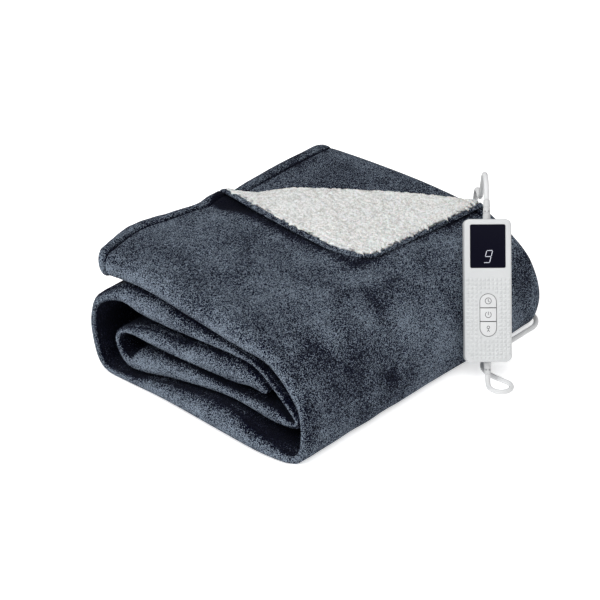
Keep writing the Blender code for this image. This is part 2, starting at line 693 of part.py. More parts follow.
def build_keys(material):
    """Three keys that share one pill-shaped pad."""
    width, height = KEY_PAD
    radius = width / 2
    bounds = (height / 2, *KEY_SPLITS, -height / 2)
    rounds = ((radius, radius, 0, 0), (0, 0, 0, 0), (0, 0, radius, radius))
    names = ("key_timer", "key_power", "key_heat")
    for index, (name, radii) in enumerate(zip(names, rounds)):
        top = bounds[index] - (GAP / 2 if index > 0 else 0)
        bottom = bounds[index + 1] + (GAP / 2 if index < 2 else 0)
        outline = corner_outline(width, top - bottom, radii, steps=6)
        key = slab(outline, KEY_RISE - KEY_DEPTH, KEY_RISE, edge=KEY_EDGE, segments=1)
        add_object(name, shift(key, y=KEY_PAD_Y + (top + bottom) / 2), material, PLACE)


# ---------------------------------------------------------------- leads and ends
def relief_shape(length):
    """A tapered strain relief standing on z = 0, with two shallow grooves."""
    profile = [(0, 0), (RELIEF_WIDE, 0)]
    for part in (0.3, 0.6):
        radius = RELIEF_WIDE + (RELIEF_SLIM - RELIEF_WIDE) * part
        for shift_z, depth in ((-1, 0), (0, 1), (1, 0)):
            profile.append((radius - RELIEF_GROOVE * depth, length * part + RELIEF_GROOVE * shift_z))
    profile += [(RELIEF_SLIM, length - RELIEF_GROOVE), (RELIEF_SLIM - RELIEF_GROOVE, length),
                (0, length)]
    return lathe(profile, RELIEF_STEPS)


def handset_end(y):
    """A point on the handset's middle line, at mid thickness."""
    return PLACE @ Vector((0, y, -HANDSET[2] / 2))


def route_from_foot(route):
    """A route given in millimetres from the front foot, in the part's own frame."""
    return [from_foot(*(MM * value for value in point)) for point in route]


def build_mains_lead(lead, rubber):
    """The lead from the top of the handset, over the bundle and down to the coil."""
    start = HANDSET[1] / 2 + GAP
    up = PLACE.to_3x3() @ Vector((0, 1, 0))
    add_object("relief_mains", relief_shape(MAINS_RELIEF), rubber, frame_at(handset_end(start), up))
    first = start + MAINS_RELIEF + GAP
    straight = [handset_end(first), handset_end(first + LEAD_STRAIGHT)]
    add_tube("mains_lead", straight + route_from_foot(MAINS_ROUTE), lead)


def build_blanket_lead(lead, rubber, plastic):
    """The lead from the foot of the handset to the inlet at the far end of the bundle."""
    start = -HANDSET[1] / 2 - GAP
    down = PLACE.to_3x3() @ Vector((0, -1, 0))
    add_object("relief_blanket", relief_shape(BLANKET_RELIEF), rubber,
               frame_at(handset_end(start), down))
    first = start - BLANKET_RELIEF - GAP
    straight = [handset_end(first), handset_end(first - LEAD_STRAIGHT)]
    add_tube("blanket_lead", straight + route_from_foot(BLANKET_ROUTE), lead)
    end = route_from_foot(BLANKET_ROUTE)[-1]
    inlet_corner = from_foot(*(MM * value for value in INLET_START))
    relief_start = Vector((end.x, inlet_corner.y - GAP, end.z))
    add_object("relief_inlet", relief_shape(INLET_RELIEF), rubber,
               frame_at(relief_start, (0, -1, 0)))
    thick, length, height = INLET
    outline = corner_outline(length, height, [INLET_CORNER] * 4)
    box = slab(outline, 0, thick, INLET_EDGE, INLET_EDGE)
    middle = inlet_corner + Vector((0, length / 2, height / 2))
    add_object("blanket_inlet", box, plastic, frame_at(middle, (1, 0, 0)))


def build_coil(lead, strap):
    """The rest of the mains lead, wound up, with its tie."""
    middle = from_foot(MM * COIL_CENTRE[0], MM * COIL_CENTRE[1], COIL_FLOOR)
    width = COIL_OUTER - COIL_INNER
    section = corner_outline(width, COIL_HEIGHT, [COIL_EDGE] * 4, steps=2)
    profile = [(COIL_INNER + width / 2 + x, COIL_HEIGHT / 2 + y) for x, y in section]
    ring = lathe(profile, COIL_STEPS, closed=True)
    add_object("mains_coil", ring, lead, Matrix.Translation(middle))
    build_tie(strap, middle)


def build_tie(strap, middle):
    """The strap round the coil's section, on the side away from the bundle."""
    width, height = COIL_OUTER - COIL_INNER + TIE_PLAY, COIL_HEIGHT + 2 * GAP
    wide, high = width + 2 * TIE_THICK, height + 2 * TIE_THICK
    inner = corner_outline(width, height, [COIL_EDGE] * 4)
    outer = corner_outline(wide, high, [COIL_EDGE + TIE_THICK] * 4)
    bm = bmesh.new()
    rings = [[bm.verts.new((x, y, 0)) for x, y in outline] for outline in (inner, outer)]
    count = len(inner)
    for index in range(count):
        after = (index + 1) % count
        bm.faces.new((rings[0][index], rings[0][after], rings[1][after], rings[1][index]))
    raised = bmesh.ops.extrude_face_region(bm, geom=bm.faces[:], use_keep_orig=True)
    top = [item for item in raised["geom"] if isinstance(item, bmesh.types.BMVert)]
    bmesh.ops.translate(bm, verts=top, vec=(0, 0, TIE_BAND))
    radius = (COIL_INNER + COIL_OUTER) / 2
    side = Vector((math.cos(TIE_ANGLE), math.sin(TIE_ANGLE), 0))
    spot = middle + side * radius + Vector((0, 0, COIL_HEIGHT / 2))
    along = Vector((-side.y, side.x, 0))
    add_object("coil_tie", bm, strap, frame_at(spot - along * TIE_BAND / 2, along))


def build_plug(lead, rubber, plastic, metal):
    """The flat two-pin plug, resting on the coil."""
    route = route_from_foot(PLUG_ROUTE)
    add_tube("mains_lead_end", route, lead)
    start = route[-1] + Vector((0, GAP, 0))
    tip = start + Vector((0, PLUG_RELIEF, 0))
    add_object("relief_plug", relief_shape(PLUG_RELIEF), rubber, frame_at(tip, (0, -1, 0)))
    width, length, height = PLUG_BODY
    outline = corner_outline(width, height, [PLUG_CORNER] * 4)
    body = slab(outline, 0, length, PLUG_EDGE, PLUG_NOSE)
    base = tip + Vector((0, GAP, 0))
    add_object("plug_body", body, plastic, frame_at(base, (0, 1, 0)))
    for name, side in (("plug_pin_left", -1), ("plug_pin_right", 1)):
        radius = PLUG_PIN[0] / 2
        profile = [(0, 0), (radius, 0), (radius, PLUG_PIN[1] - radius / 2),
                   (radius / 2, PLUG_PIN[1]), (0, PLUG_PIN[1])]
        foot = base + Vector((side * PLUG_PIN_SPACING / 2, length + GAP, 0))
        add_object(name, lathe(profile, PIN_STEPS), metal, frame_at(foot, (0, 1, 0)))


def main():
    """Build every piece."""
    clear_scene()
    plush = finish_material("charcoal_plush", (0.045, 0.06, 0.085), 0.95)
    fleece = finish_material("white_fleece", (0.85, 0.84, 0.81), 1.0)
    shell = finish_material("white_shell", (0.82, 0.83, 0.84), 0.45)
    glass = finish_material("dark_window", (0.008, 0.01, 0.02), 0.15)
    key = finish_material("key_white", (0.86, 0.86, 0.87), 0.4)
    lead = finish_material("lead_white", (0.8, 0.8, 0.8), 0.5)
    rubber = finish_material("relief_white", (0.75, 0.75, 0.76), 0.6)
    strap = finish_material("tie_white", (0.7, 0.7, 0.7), 0.6)
    metal = finish_material("pin_nickel", (0.75, 0.74, 0.7), 0.3, 1.0)
    build_blanket(plush)
    build_lining(fleece)
    build_shells(shell)
    build_window(glass)
    build_keys(key)
    build_mains_lead(lead, rubber)
    build_blanket_lead(lead, rubber, shell)
    build_coil(lead, strap)
    build_plug(lead, rubber, shell, metal)


main()
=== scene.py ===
"""Looks of an electric heated blanket, folded up, with its handset, leads and plug.

Metres, +Z up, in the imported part's own frame.  The blanket is one cloth.  It is folded in
thirds across its width, like a letter, and the strip that this makes is rolled flat.  One
corner of the top layer is turned over and shows the fleece lining.
"""
import bisect
import logging
import math
from dataclasses import dataclass, field
from enum import Enum
from typing import Iterable, NamedTuple, Sequence

import bmesh
import bpy
from mathutils import Matrix, Vector, noise


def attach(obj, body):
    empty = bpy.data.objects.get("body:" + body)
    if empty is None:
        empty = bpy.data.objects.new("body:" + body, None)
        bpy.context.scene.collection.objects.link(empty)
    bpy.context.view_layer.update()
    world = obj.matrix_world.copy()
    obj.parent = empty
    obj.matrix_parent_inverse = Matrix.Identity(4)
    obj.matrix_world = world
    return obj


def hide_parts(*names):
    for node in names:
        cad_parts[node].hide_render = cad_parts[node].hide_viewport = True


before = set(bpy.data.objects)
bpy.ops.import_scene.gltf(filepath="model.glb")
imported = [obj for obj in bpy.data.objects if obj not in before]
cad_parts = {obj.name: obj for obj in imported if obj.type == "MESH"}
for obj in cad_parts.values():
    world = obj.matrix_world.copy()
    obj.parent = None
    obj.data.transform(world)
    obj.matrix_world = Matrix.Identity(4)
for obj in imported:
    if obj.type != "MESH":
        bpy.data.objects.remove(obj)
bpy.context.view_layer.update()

LOG = logging.getLogger("heated_blanket")
MM = 0.001
GAP = 0.3 * MM  # between parts that are set into each other
LEVEL = 1e-7  # a point this near to a height lies at it
CUT_SHARP = math.radians(35)  # edges of a cut piece that turn more than this stay sharp
BUNDLE = "bundle"
NOISE_SEED = 5  # gives the fleece the same curls in each run

Colour = tuple[float, float, float]
Place = tuple[float, float, float]
Outline = list[tuple[float, float]]
Span = tuple[float, float]


# ------------------------------------------------------------------ shares and soft bumps
def clamp(value: float) -> float:
    """A number kept between 0 and 1."""
    return min(max(value, 0.0), 1.0)


def ease(value: float) -> float:
    """A number kept between 0 and 1, with a soft start and end."""
    part = clamp(value)
    return part * part * (3 - 2 * part)


def bell(distance: float, reach: float) -> float:
    """A soft bump: 1 at no distance, fading out beyond its reach."""
    return math.exp(-(distance / reach) ** 2)


def arch(part: float) -> float:
    """A round rise: 1 at part 0, and 0 from part 1 on, to either side."""
    return math.sqrt(max(1 - part * part, 0.0))


def soft_noise(x: float, y: float, seed: float) -> float:
    """Soft noise at a place counted in its own cells, about -1 to 1; each seed gives another."""
    return noise.noise(Vector((x, y, seed)))


# ------------------------------------------------------------------ finishes
class Recipe:
    """A material's node tree, with short ways to add nodes and join them."""

    def __init__(self, name: str) -> None:
        """Start a material.

        Args:
            name: The material's name.
        """
        self.material = bpy.data.materials.new(name)
        self.material.use_nodes = True
        self.tree = self.material.node_tree
        self.shader = self.tree.nodes["Principled BSDF"]
        self.object_place = self.tree.nodes.new("ShaderNodeTexCoord").outputs["Object"]

    def constant(self, **values: float | Colour) -> None:
        """Set the shader's own sockets.

        Args:
            values: Socket names with underscores for spaces, and their values.
        """
        for name, value in values.items():
            socket = self.shader.inputs[name.replace("_", " ")]
            socket.default_value = (*value, 1.0) if isinstance(value, tuple) else value

    def join(self, source: bpy.types.NodeSocket, target: str) -> None:
        """Join a socket to the shader's named input."""
        self.tree.links.new(source, self.shader.inputs[target])

    def noise(self, scale: float, detail: float = 2.0, rough: float = 0.5, twist: float = 0.0,
              stretch: Place = (1.0, 1.0, 1.0)) -> bpy.types.NodeSocket:
        """Cloudy noise on the object's own coordinates.

        Args:
            scale: Cells to the metre.
            detail: Octaves.
            rough: Share that each octave keeps.
            twist: How far the noise is drawn out of shape.
            stretch: Scale along each axis.

        Returns:
            The noise's value, about 0 to 1.
        """
        place = self.tree.nodes.new("ShaderNodeMapping")
        place.inputs["Scale"].default_value = stretch
        self.tree.links.new(self.object_place, place.inputs["Vector"])
        node = self.tree.nodes.new("ShaderNodeTexNoise")
        node.inputs["Scale"].default_value = scale
        node.inputs["Detail"].default_value = detail
        node.inputs["Roughness"].default_value = rough
        node.inputs["Distortion"].default_value = twist
        self.tree.links.new(place.outputs["Vector"], node.inputs["Vector"])
        return node.outputs["Fac"]

    def cells(self, scale: float) -> tuple[bpy.types.NodeSocket, bpy.types.NodeSocket]:
        """Small cells, each with a tone of its own.

        Args:
            scale: Cells to the metre.

        Returns:
            The cell's tone and the distance to its middle.
        """
        node = self.tree.nodes.new("ShaderNodeTexVoronoi")
        node.inputs["Scale"].default_value = scale
        self.tree.links.new(self.object_place, node.inputs["Vector"])
        split = self.tree.nodes.new("ShaderNodeSeparateColor")
        self.tree.links.new(node.outputs["Color"], split.inputs["Color"])
        return split.outputs["Red"], node.outputs["Distance"]

    def attribute(self, name: str) -> bpy.types.NodeSocket:
        """A number that the mesh carries at its points.

        Args:
            name: The attribute's name.

        Returns:
            The number's socket.
        """
        node = self.tree.nodes.new("ShaderNodeAttribute")
        node.attribute_name = name
        return node.outputs["Fac"]

    def sum_of(self, *parts: tuple[bpy.types.NodeSocket, float],
               base: float = 0.0) -> bpy.types.NodeSocket:
        """Weighted sum of sockets.

        Args:
            parts: Sockets and their weights.
            base: What is added to the sum.

        Returns:
            The sum's socket.
        """
        total: bpy.types.NodeSocket | None = None
        for socket, weight in parts:
            node = self.tree.nodes.new("ShaderNodeMath")
            node.operation = "MULTIPLY_ADD"
            self.tree.links.new(socket, node.inputs[0])
            node.inputs[1].default_value = weight
            if total is None:
                node.inputs[2].default_value = base
            else:
                self.tree.links.new(total, node.inputs[2])
            total = node.outputs[0]
        return total

    def ramp(self, factor: bpy.types.NodeSocket, *stops: tuple[float, Colour]) -> bpy.types.NodeSocket:
        """Colours by a number.

        Args:
            factor: The number, 0 to 1.
            stops: Places and colours.

        Returns:
            The colour socket.
        """
        node = self.tree.nodes.new("ShaderNodeValToRGB")
        elements = node.color_ramp.elements
        while len(elements) < len(stops):
            elements.new(0.5)
        for element, (place, colour) in zip(elements, stops):
            element.position = place
            element.color = (*colour, 1.0)
        self.tree.links.new(factor, node.inputs["Fac"])
        return node.outputs["Color"]

    def span(self, factor: bpy.types.NodeSocket, low: float, high: float) -> bpy.types.NodeSocket:
        """A number from 0..1 brought to low..high."""
        return self.sum_of((factor, high - low), base=low)

    def bump(self, height: bpy.types.NodeSocket, rise: float, strength: float = 1.0) -> None:
        """Give the shader a bumped normal.

        Args:
            height: The height, 0 to 1.
            rise: How high 1 stands, in metres.
            strength: Share of the effect.
        """
        node = self.tree.nodes.new("ShaderNodeBump")
        node.inputs["Distance"].default_value = rise
        node.inputs["Strength"].default_value = strength
        self.tree.links.new(height, node.inputs["Height"])
        self.join(node.outputs["Normal"], "Normal")


@dataclass(frozen=True)
class PlushFinish:
    """Short charcoal flannel pile whose nap lies in soft light and dark patches.

    Its tone is a weighted sum of random patterns and of the mesh's painted light, which a ramp of four
    colours turns into the nap: painted shade in the gaps and beside the turned corner, painted highlights
    on the fold crests.
    """

    # painted shade takes the tone down to black; painted crest highlights and the lightest grain take it
    # up to light
    black: Colour = (0.0010, 0.0010, 0.0060)
    dark: Colour = (0.009, 0.011, 0.034)
    middle: Colour = (0.033, 0.040, 0.070)
    light: Colour = (0.275, 0.332, 0.405)
    stops: tuple[float, ...] = (0.0, 0.25, 0.55, 1.0)
    patch_scale: float = 17.0
    patch_weight: float = 2.30
    brushed_scale: float = 60.0
    brushed_stretch: Place = (1.0, 2.4, 1.0)
    brushed_weight: float = 0.70
    curl_scale: float = 210.0
    curl_weight: float = 0.10
    grain_scale: float = 1450.0
    grain_weight: float = 3.00
    # the mesh attribute of painted light: painted shade below 1, painted highlight above 1
    painted_light_name: str = "open"
    painted_light_weight: float = 1.25
    base: float = -4.05
    roughness: Span = (0.82, 1.0)
    sheen: float = 0.045
    sheen_tint: Colour = (0.62, 0.70, 0.82)
    pile_rise: float = 1.3 * MM

    def make(self, name: str) -> bpy.types.Material:
        """Build the material.

        Args:
            name: The material's name.

        Returns:
            The material.
        """
        recipe = Recipe(name)
        patch = recipe.noise(self.patch_scale, detail=3.0, rough=0.55, twist=0.6)
        brushed = recipe.noise(self.brushed_scale, 3.0, 0.6, 0.9, stretch=self.brushed_stretch)
        curl = recipe.noise(self.curl_scale, detail=2.0, rough=0.55)
        grain, pile = recipe.cells(self.grain_scale)
        light = recipe.attribute(self.painted_light_name)
        tone = recipe.sum_of((patch, self.patch_weight), (brushed, self.brushed_weight),
                             (curl, self.curl_weight), (grain, self.grain_weight),
                             (light, self.painted_light_weight), base=self.base)
        colours = (self.black, self.dark, self.middle, self.light)
        recipe.join(recipe.ramp(tone, *zip(self.stops, colours)), "Base Color")
        recipe.join(recipe.span(grain, *self.roughness), "Roughness")
        recipe.constant(Sheen_Weight=self.sheen, Sheen_Roughness=0.4, Sheen_Tint=self.sheen_tint,
                        Specular_IOR_Level=0.01)
        height = recipe.sum_of((pile, -0.9), (grain, 0.5), (curl, 0.6), base=0.6)
        recipe.bump(height, self.pile_rise, strength=0.9)
        return recipe.material


@dataclass(frozen=True)
class FleeceFinish:
    """Cream white curly fleece, with painted shade in the hollows between its curls."""

    # the ramp runs from painted shade low between the curls (deep) to the curls' tops (light)
    deep: Colour = (0.30, 0.295, 0.265)
    middle: Colour = (0.55, 0.555, 0.54)
    light: Colour = (0.77, 0.775, 0.77)
    stops: tuple[float, ...] = (0.0, 0.45, 0.85)
    wool_scale: float = 560.0
    wool_weight: float = 0.54
    cream_scale: float = 24.0
    cream_weight: float = 0.25
    tuft_name: str = "tuft"
    tuft_shade_weight: float = 0.50
    base: float = -0.07
    sheen: float = 0.25
    soft_depth: float = 2.0 * MM
    wool_rise: float = 1.2 * MM

    def make(self, name: str, tufts: bool) -> bpy.types.Material:
        """Build the material.

        Args:
            name: The material's name.
            tufts: Whether the mesh carries its own tuft heights.

        Returns:
            The material.
        """
        recipe = Recipe(name)
        wool, curls = recipe.cells(self.wool_scale)
        cream = recipe.noise(self.cream_scale, detail=2.0, rough=0.5)
        # painted shade: the lower a point lies among the curls, the darker its colour
        tuft = recipe.attribute(self.tuft_name) if tufts else recipe.sum_of((curls, -1.3), base=1.0)
        tone = recipe.sum_of((tuft, self.tuft_shade_weight), (wool, self.wool_weight),
                             (cream, self.cream_weight), base=self.base)
        colours = (self.deep, self.middle, self.light)
        recipe.join(recipe.ramp(tone, *zip(self.stops, colours)), "Base Color")
        recipe.constant(Roughness=1.0, Sheen_Weight=self.sheen, Sheen_Roughness=0.5,
                        Specular_IOR_Level=0.1, Subsurface_Weight=0.12, Subsurface_Scale=self.soft_depth)
        height = recipe.sum_of((wool, 0.4), (curls, -0.6), (tuft, 0.5), base=0.5)
        recipe.bump(height, self.wool_rise, strength=0.7)
        return recipe.material


@dataclass(frozen=True)
class PlasticFinish:
    """Moulded plastic with a fine spark grain and faint handling marks.

    grain is the height of the spark marks, in millimetres.
    """

    colour: Colour
    roughness: float
    grain: float
    shine: float
    spark_scale: float = 1900.0
    cloud_scale: float = 45.0
    deep_share: float = 0.93

    def make(self, name: str) -> bpy.types.Material:
        """Build the material.

        Args:
            name: The material's name.

        Returns:
            The material.
        """
        recipe = Recipe(name)
        spark = recipe.noise(self.spark_scale, detail=2.0)
        cloud = recipe.noise(self.cloud_scale, detail=3.0)
        deep = tuple(self.deep_share * value for value in self.colour)
        tone = recipe.sum_of((cloud, 0.6), (spark, 0.4))
        recipe.join(recipe.ramp(tone, (0.3, deep), (0.7, self.colour)), "Base Color")
        recipe.join(recipe.span(cloud, self.roughness - 0.06, self.roughness + 0.08), "Roughness")
        recipe.constant(Specular_IOR_Level=self.shine)
        recipe.bump(spark, self.grain * MM, strength=0.5)
        return recipe.material


@dataclass(frozen=True)
class GlowFinish:
    """A lit segment behind the window."""

    colour: Colour = (0.58, 0.60, 0.68)
    bright: Colour = (0.64, 0.66, 0.73)
    cloud_scale: float = 900.0
    strength: float = 0.30

    def make(self, name: str) -> bpy.types.Material:
        """Build the material.

        Args:
            name: The material's name.

        Returns:
            The material.
        """
        recipe = Recipe(name)
        cloud = recipe.noise(self.cloud_scale)
        recipe.join(recipe.ramp(cloud, (0.2, self.colour), (0.8, self.bright)), "Base Color")
        recipe.constant(Emission_Color=self.colour, Emission_Strength=self.strength, Roughness=0.5)
        return recipe.material


@dataclass(frozen=True)
class MetalFinish:
    """Nickel-plated pin with fine turning marks."""

    colour: Colour = (0.72, 0.70, 0.66)
    deep_share: float = 0.82
    mark_scale: float = 700.0
    mark_stretch: Place = (1.0, 6.0, 1.0)
    mark_rise: float = 0.02 * MM
    roughness: Span = (0.18, 0.34)

    def make(self, name: str) -> bpy.types.Material:
        """Build the material.

        Args:
            name: The material's name.

        Returns:
            The material.
        """
        recipe = Recipe(name)
        marks = recipe.noise(self.mark_scale, detail=3.0, rough=0.6, stretch=self.mark_stretch)
        deep = tuple(self.deep_share * value for value in self.colour)
        recipe.join(recipe.ramp(marks, (0.3, deep), (0.7, self.colour)), "Base Color")
        recipe.join(recipe.span(marks, *self.roughness), "Roughness")
        recipe.constant(Metallic=1.0)
        recipe.bump(marks, self.mark_rise, strength=0.4)
        return recipe.material


class Slot(Enum):
    """The record's material slots."""

    PLUSH = "charcoal_plush"
    FLEECE = "white_fleece"
    SHELL = "white_shell"
    WINDOW = "dark_window"
    KEY = "key_white"
    LEAD = "lead_white"
    RELIEF = "relief_white"
    TIE = "tie_white"
    PIN = "pin_nickel"


class Finishes:
    """Every material of the object, made once."""

    def __init__(self) -> None:
        """Make them all."""
        self.plush = PlushFinish().make("charcoal flannel")
        self.fleece = FleeceFinish().make("cream fleece", tufts=False)
        self.tufted = FleeceFinish().make("tufted fleece", tufts=True)
        self.shell = self.plastic("white shell", (0.59, 0.60, 0.605), 0.42, 0.03, 0.4)
        self.window = self.plastic("smoked window", (0.004, 0.004, 0.010), 0.34, 0.004, 0.03)
        self.key = self.plastic("white key", (0.64, 0.645, 0.65), 0.45, 0.02, 0.4)
        # a dark sheet of painted shade for the gaps round the keys and the reliefs' slots
        self.shade_sheet = self.plastic("painted gap shade", (0.035, 0.035, 0.04), 0.7, 0.05, 0.2)
        self.ink = self.plastic("grey print", (0.05, 0.05, 0.056), 0.6, 0.01, 0.2)
        self.lead = self.plastic("white lead", (0.66, 0.665, 0.67), 0.5, 0.06, 0.4)
        self.relief = self.plastic("white relief", (0.56, 0.565, 0.57), 0.55, 0.05, 0.4)
        self.tie = self.plastic("white tie", (0.66, 0.66, 0.67), 0.6, 0.08, 0.3)
        self.glow = GlowFinish().make("lit segment")
        self.pin = MetalFinish().make("plated pin")

    @staticmethod
    def plastic(name: str, colour: Colour, roughness: float, grain: float,
                shine: float) -> bpy.types.Material:
        """A moulded plastic by its name, colour, roughness, grain height (mm) and shine."""
        return PlasticFinish(colour, roughness, grain, shine).make(name)


# ------------------------------------------------------------------ making pieces
def add_piece(name: str, bm: bmesh.types.BMesh, materials: Sequence[bpy.types.Material],
              place: Matrix = Matrix.Identity(4), body: str = BUNDLE,
              sharp: float = 40.0) -> bpy.types.Object:
    """Turn a bmesh into a piece that rides on a body.

    Args:
        name: The piece's name.
        bm: The mesh, which is freed.
        materials: Its materials in the order of their indices.
        place: Where the mesh's own frame stands.
        body: The CAD body that it moves with.
        sharp: Edges that turn more than this, in degrees, stay sharp.

    Returns:
        The new object.
    """
    bm.transform(place)
    mesh = bpy.data.meshes.new(name)
    bm.to_mesh(mesh)
    bm.free()
    for material in materials:
        mesh.materials.append(material)
    mesh.shade_smooth()
    mesh.set_sharp_from_angle(angle=math.radians(sharp))
    thing = bpy.data.objects.new(name, mesh)
    bpy.context.scene.collection.objects.link(thing)
    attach(thing, body)
    return thing


def rounded_outline(width: float, height: float, radii: Sequence[float], steps: int = 8) -> Outline:
    """A rectangle with rounded corners, from the upper right one round to the left.

    Args:
        width: Its size across.
        height: Its size up.
        radii: The four corners' radii.
        steps: Cuts to each corner.

    Returns:
        Its points.
    """
    points: Outline = []
    corners = ((1, 1), (-1, 1), (-1, -1), (1, -1))
    for quarter, ((sign_x, sign_y), radius) in enumerate(zip(corners, radii)):
        middle_x, middle_y = sign_x * (width / 2 - radius), sign_y * (height / 2 - radius)
        count = steps if radius > 0 else 0
        for step in range(count + 1):
            angle = math.pi / 2 * (quarter + (step / count if count else 0.5))
            points.append((middle_x + radius * math.cos(angle), middle_y + radius * math.sin(angle)))
    return points


def slab(outline: Outline, low: float, high: float, edge: float = 0.0, low_edge: float = 0.0,
         segments: int = 4) -> bmesh.types.BMesh:
    """A plate between two heights, its rims rounded.

    Args:
        outline: Its outline, seen from above.
        low: The height of its underside.
        high: The height of its top.
        edge: The rounding of the upper rim.
        low_edge: The rounding of the lower rim.
        segments: Cuts to each rounding.

    Returns:
        The plate.
    """
    bm = bmesh.new()
    face = bm.faces.new([bm.verts.new((x, y, low)) for x, y in outline])
    raised = bmesh.ops.extrude_face_region(bm, geom=[face], use_keep_orig=True)
    top = [item for item in raised["geom"] if isinstance(item, bmesh.types.BMVert)]
    bmesh.ops.translate(bm, verts=top, vec=(0, 0, high - low))
    for height, size in ((high, edge), (low, low_edge)):
        if size > 0:
            rim = [item for item in bm.edges if all(abs(v.co.z - height) < LEVEL for v in item.verts)]
            bmesh.ops.bevel(bm, geom=rim, offset=size, segments=segments, profile=0.5, affect="EDGES",
                            clamp_overlap=True, material=-1)
    bmesh.ops.recalc_face_normals(bm, faces=bm.faces)
    return bm


def moved(bm: bmesh.types.BMesh, x: float = 0.0, y: float = 0.0,
          z: float = 0.0) -> bmesh.types.BMesh:
    """Move a whole bmesh and hand it back."""
    bmesh.ops.translate(bm, verts=bm.verts, vec=(x, y, z))
    return bm


def merged(parts: Iterable[bmesh.types.BMesh]) -> bmesh.types.BMesh:
    """Gather several meshes into one and free them.

    Args:
        parts: The meshes.

    Returns:
        One mesh with all of them.
    """
    whole = bmesh.new()
    for part in parts:
        mesh = bpy.data.meshes.new("part")
        part.to_mesh(mesh)
        part.free()
        whole.from_mesh(mesh)
        bpy.data.meshes.remove(mesh)
    return whole


def cut_from(thing: bpy.types.Object, cutters: Iterable[bmesh.types.BMesh], place: Matrix) -> None:
    """Cut shapes out of a piece and keep the result as its mesh.

    Args:
        thing: The piece.
        cutters: The shapes, each freed.
        place: Where the shapes' own frame stands.
    """
    for cutter in cutters:
        cutter.transform(place)
        mesh = bpy.data.meshes.new("cutter")
        cutter.to_mesh(mesh)
        cutter.free()
        tool = bpy.data.objects.new("cutter", mesh)
        bpy.context.scene.collection.objects.link(tool)
        cut = thing.modifiers.new("cut", "BOOLEAN")
        cut.operation, cut.solver, cut.object = "DIFFERENCE", "EXACT", tool
        graph = bpy.context.evaluated_depsgraph_get()
        result = bpy.data.meshes.new_from_object(thing.evaluated_get(graph))
        thing.modifiers.clear()
        thing.data = result
        bpy.data.objects.remove(tool)
    thing.data.shade_smooth()
    thing.data.set_sharp_from_angle(angle=CUT_SHARP)


def dress(node: str, material: bpy.types.Material) -> bpy.types.Object:
    """Give a CAD node that stays a better material.

    Args:
        node: The node's name.
        material: Its material.

    Returns:
        The node's object.
    """
    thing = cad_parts[node]
    thing.data.materials.clear()
    thing.data.materials.append(material)
    return thing


# ------------------------------------------------------------------ the folded cloth
class Knot(NamedTuple):
    """One knot of the rolled strip's outer face, in millimetres.

    The first three numbers hold at the layered end and the next three at the far end.
    reach and far_reach are how far each end of the strip stands out there.
    """

    y: float
    z: float
    thick: float
    far_y: float
    far_z: float
    far_thick: float
    reach: float = 0.0
    far_reach: float = 0.0


FOOT = (-3.9 * MM, 138.8 * MM)
OUTSIDE = ("top pass", "down the front", "floor pass", "up the back")
ROLL: dict[str, tuple[Knot, ...]] = {
    "top pass": (
        Knot(299, 147, 28, 333, 140, 16, 1, 3),
        Knot(282, 149, 29, 315, 144, 23, 0, 5),
        Knot(227, 147, 25, 250, 144.5, 25, 0, 6),
        Knot(152, 137, 26, 165, 142.5, 27, 0, 6),
        Knot(84, 125, 24, 90, 136, 26, 0, 3),
        Knot(56, 119, 20, 52, 126, 22, 0, -2),
    ),
    "down the front": (
        Knot(34, 108, 17, 24, 111, 18, 0, -2),
        Knot(14, 86, 12, 4, 89, 14, 0, 3),
        Knot(-1, 61, 9, -9, 60, 12, 0, 6),
        Knot(-6, 36, 8, -13, 34, 10, 2, 7),
        Knot(-6, 14, 8, -10, 13, 9, 5, 4),
    ),
    "floor pass": (
        Knot(0.5, 3, 8, -3, 2.5, 9, 9, 2),
        Knot(13, 0, 11, 11, 0, 12, 15, 0),
        Knot(50, 0, 22, 50, 0, 24, 20, 0),
        Knot(106, 0, 33, 110, 0, 27, 18, 0),
        Knot(194, 0, 21, 200, 0, 23, 9, 0),
        Knot(250, 0, 10.5, 270, 0, 14, 6, 0),
    ),
    "up the back": (
        Knot(288, 1, 8, 318, 1, 9, 5, 0),
        Knot(306, 13, 8, 338, 14, 9, 4),
        Knot(314, 40, 8.5, 345, 42, 9, 4),
        Knot(315, 64, 8.5, 345, 68, 9, 4),
        Knot(306, 90, 9, 333, 93, 11, 3),
    ),
    "second pass": (
        Knot(276, 111, 17, 305, 110, 17),
        Knot(240, 119, 31, 260, 113, 25),
        Knot(190, 114.5, 28, 200, 113, 25),
        Knot(140, 106.5, 17, 150, 111, 21),
        Knot(90, 99, 7, 95, 106, 14),
    ),
    "down inside": (
        Knot(62, 94, 6, 58, 99, 9),
        Knot(36, 76, 6, 28, 84, 8),
        Knot(16, 59, 6, 11, 62, 8),
        Knot(6, 46, 5, 3.5, 47, 6),
    ),
    "fourth pass": (
        Knot(14, 36.5, 6.5, 12, 36, 7.5),
        Knot(42, 31, 18, 44, 29, 16),
        Knot(106, 37.5, 12, 110, 31, 18),
        Knot(194, 24.5, 25, 200, 27, 21),
        Knot(243, 14, 29, 262, 18, 21),
    ),
    "up inside": (
        Knot(265, 19, 13, 292, 21, 12),
        Knot(278, 38, 6.5, 308, 40, 8),
        Knot(278, 54, 6.5, 307, 58, 8),
        Knot(262, 66, 6.5, 288, 70, 9),
    ),
    "third pass": (
        Knot(228, 75, 18, 245, 76, 17),
        Knot(180, 78, 23, 190, 78, 20),
        Knot(106, 86, 31, 110, 82, 22),
        Knot(72, 82.5, 24, 74, 80, 20),
        Knot(48, 68, 9, 48, 70, 10),
    ),
}


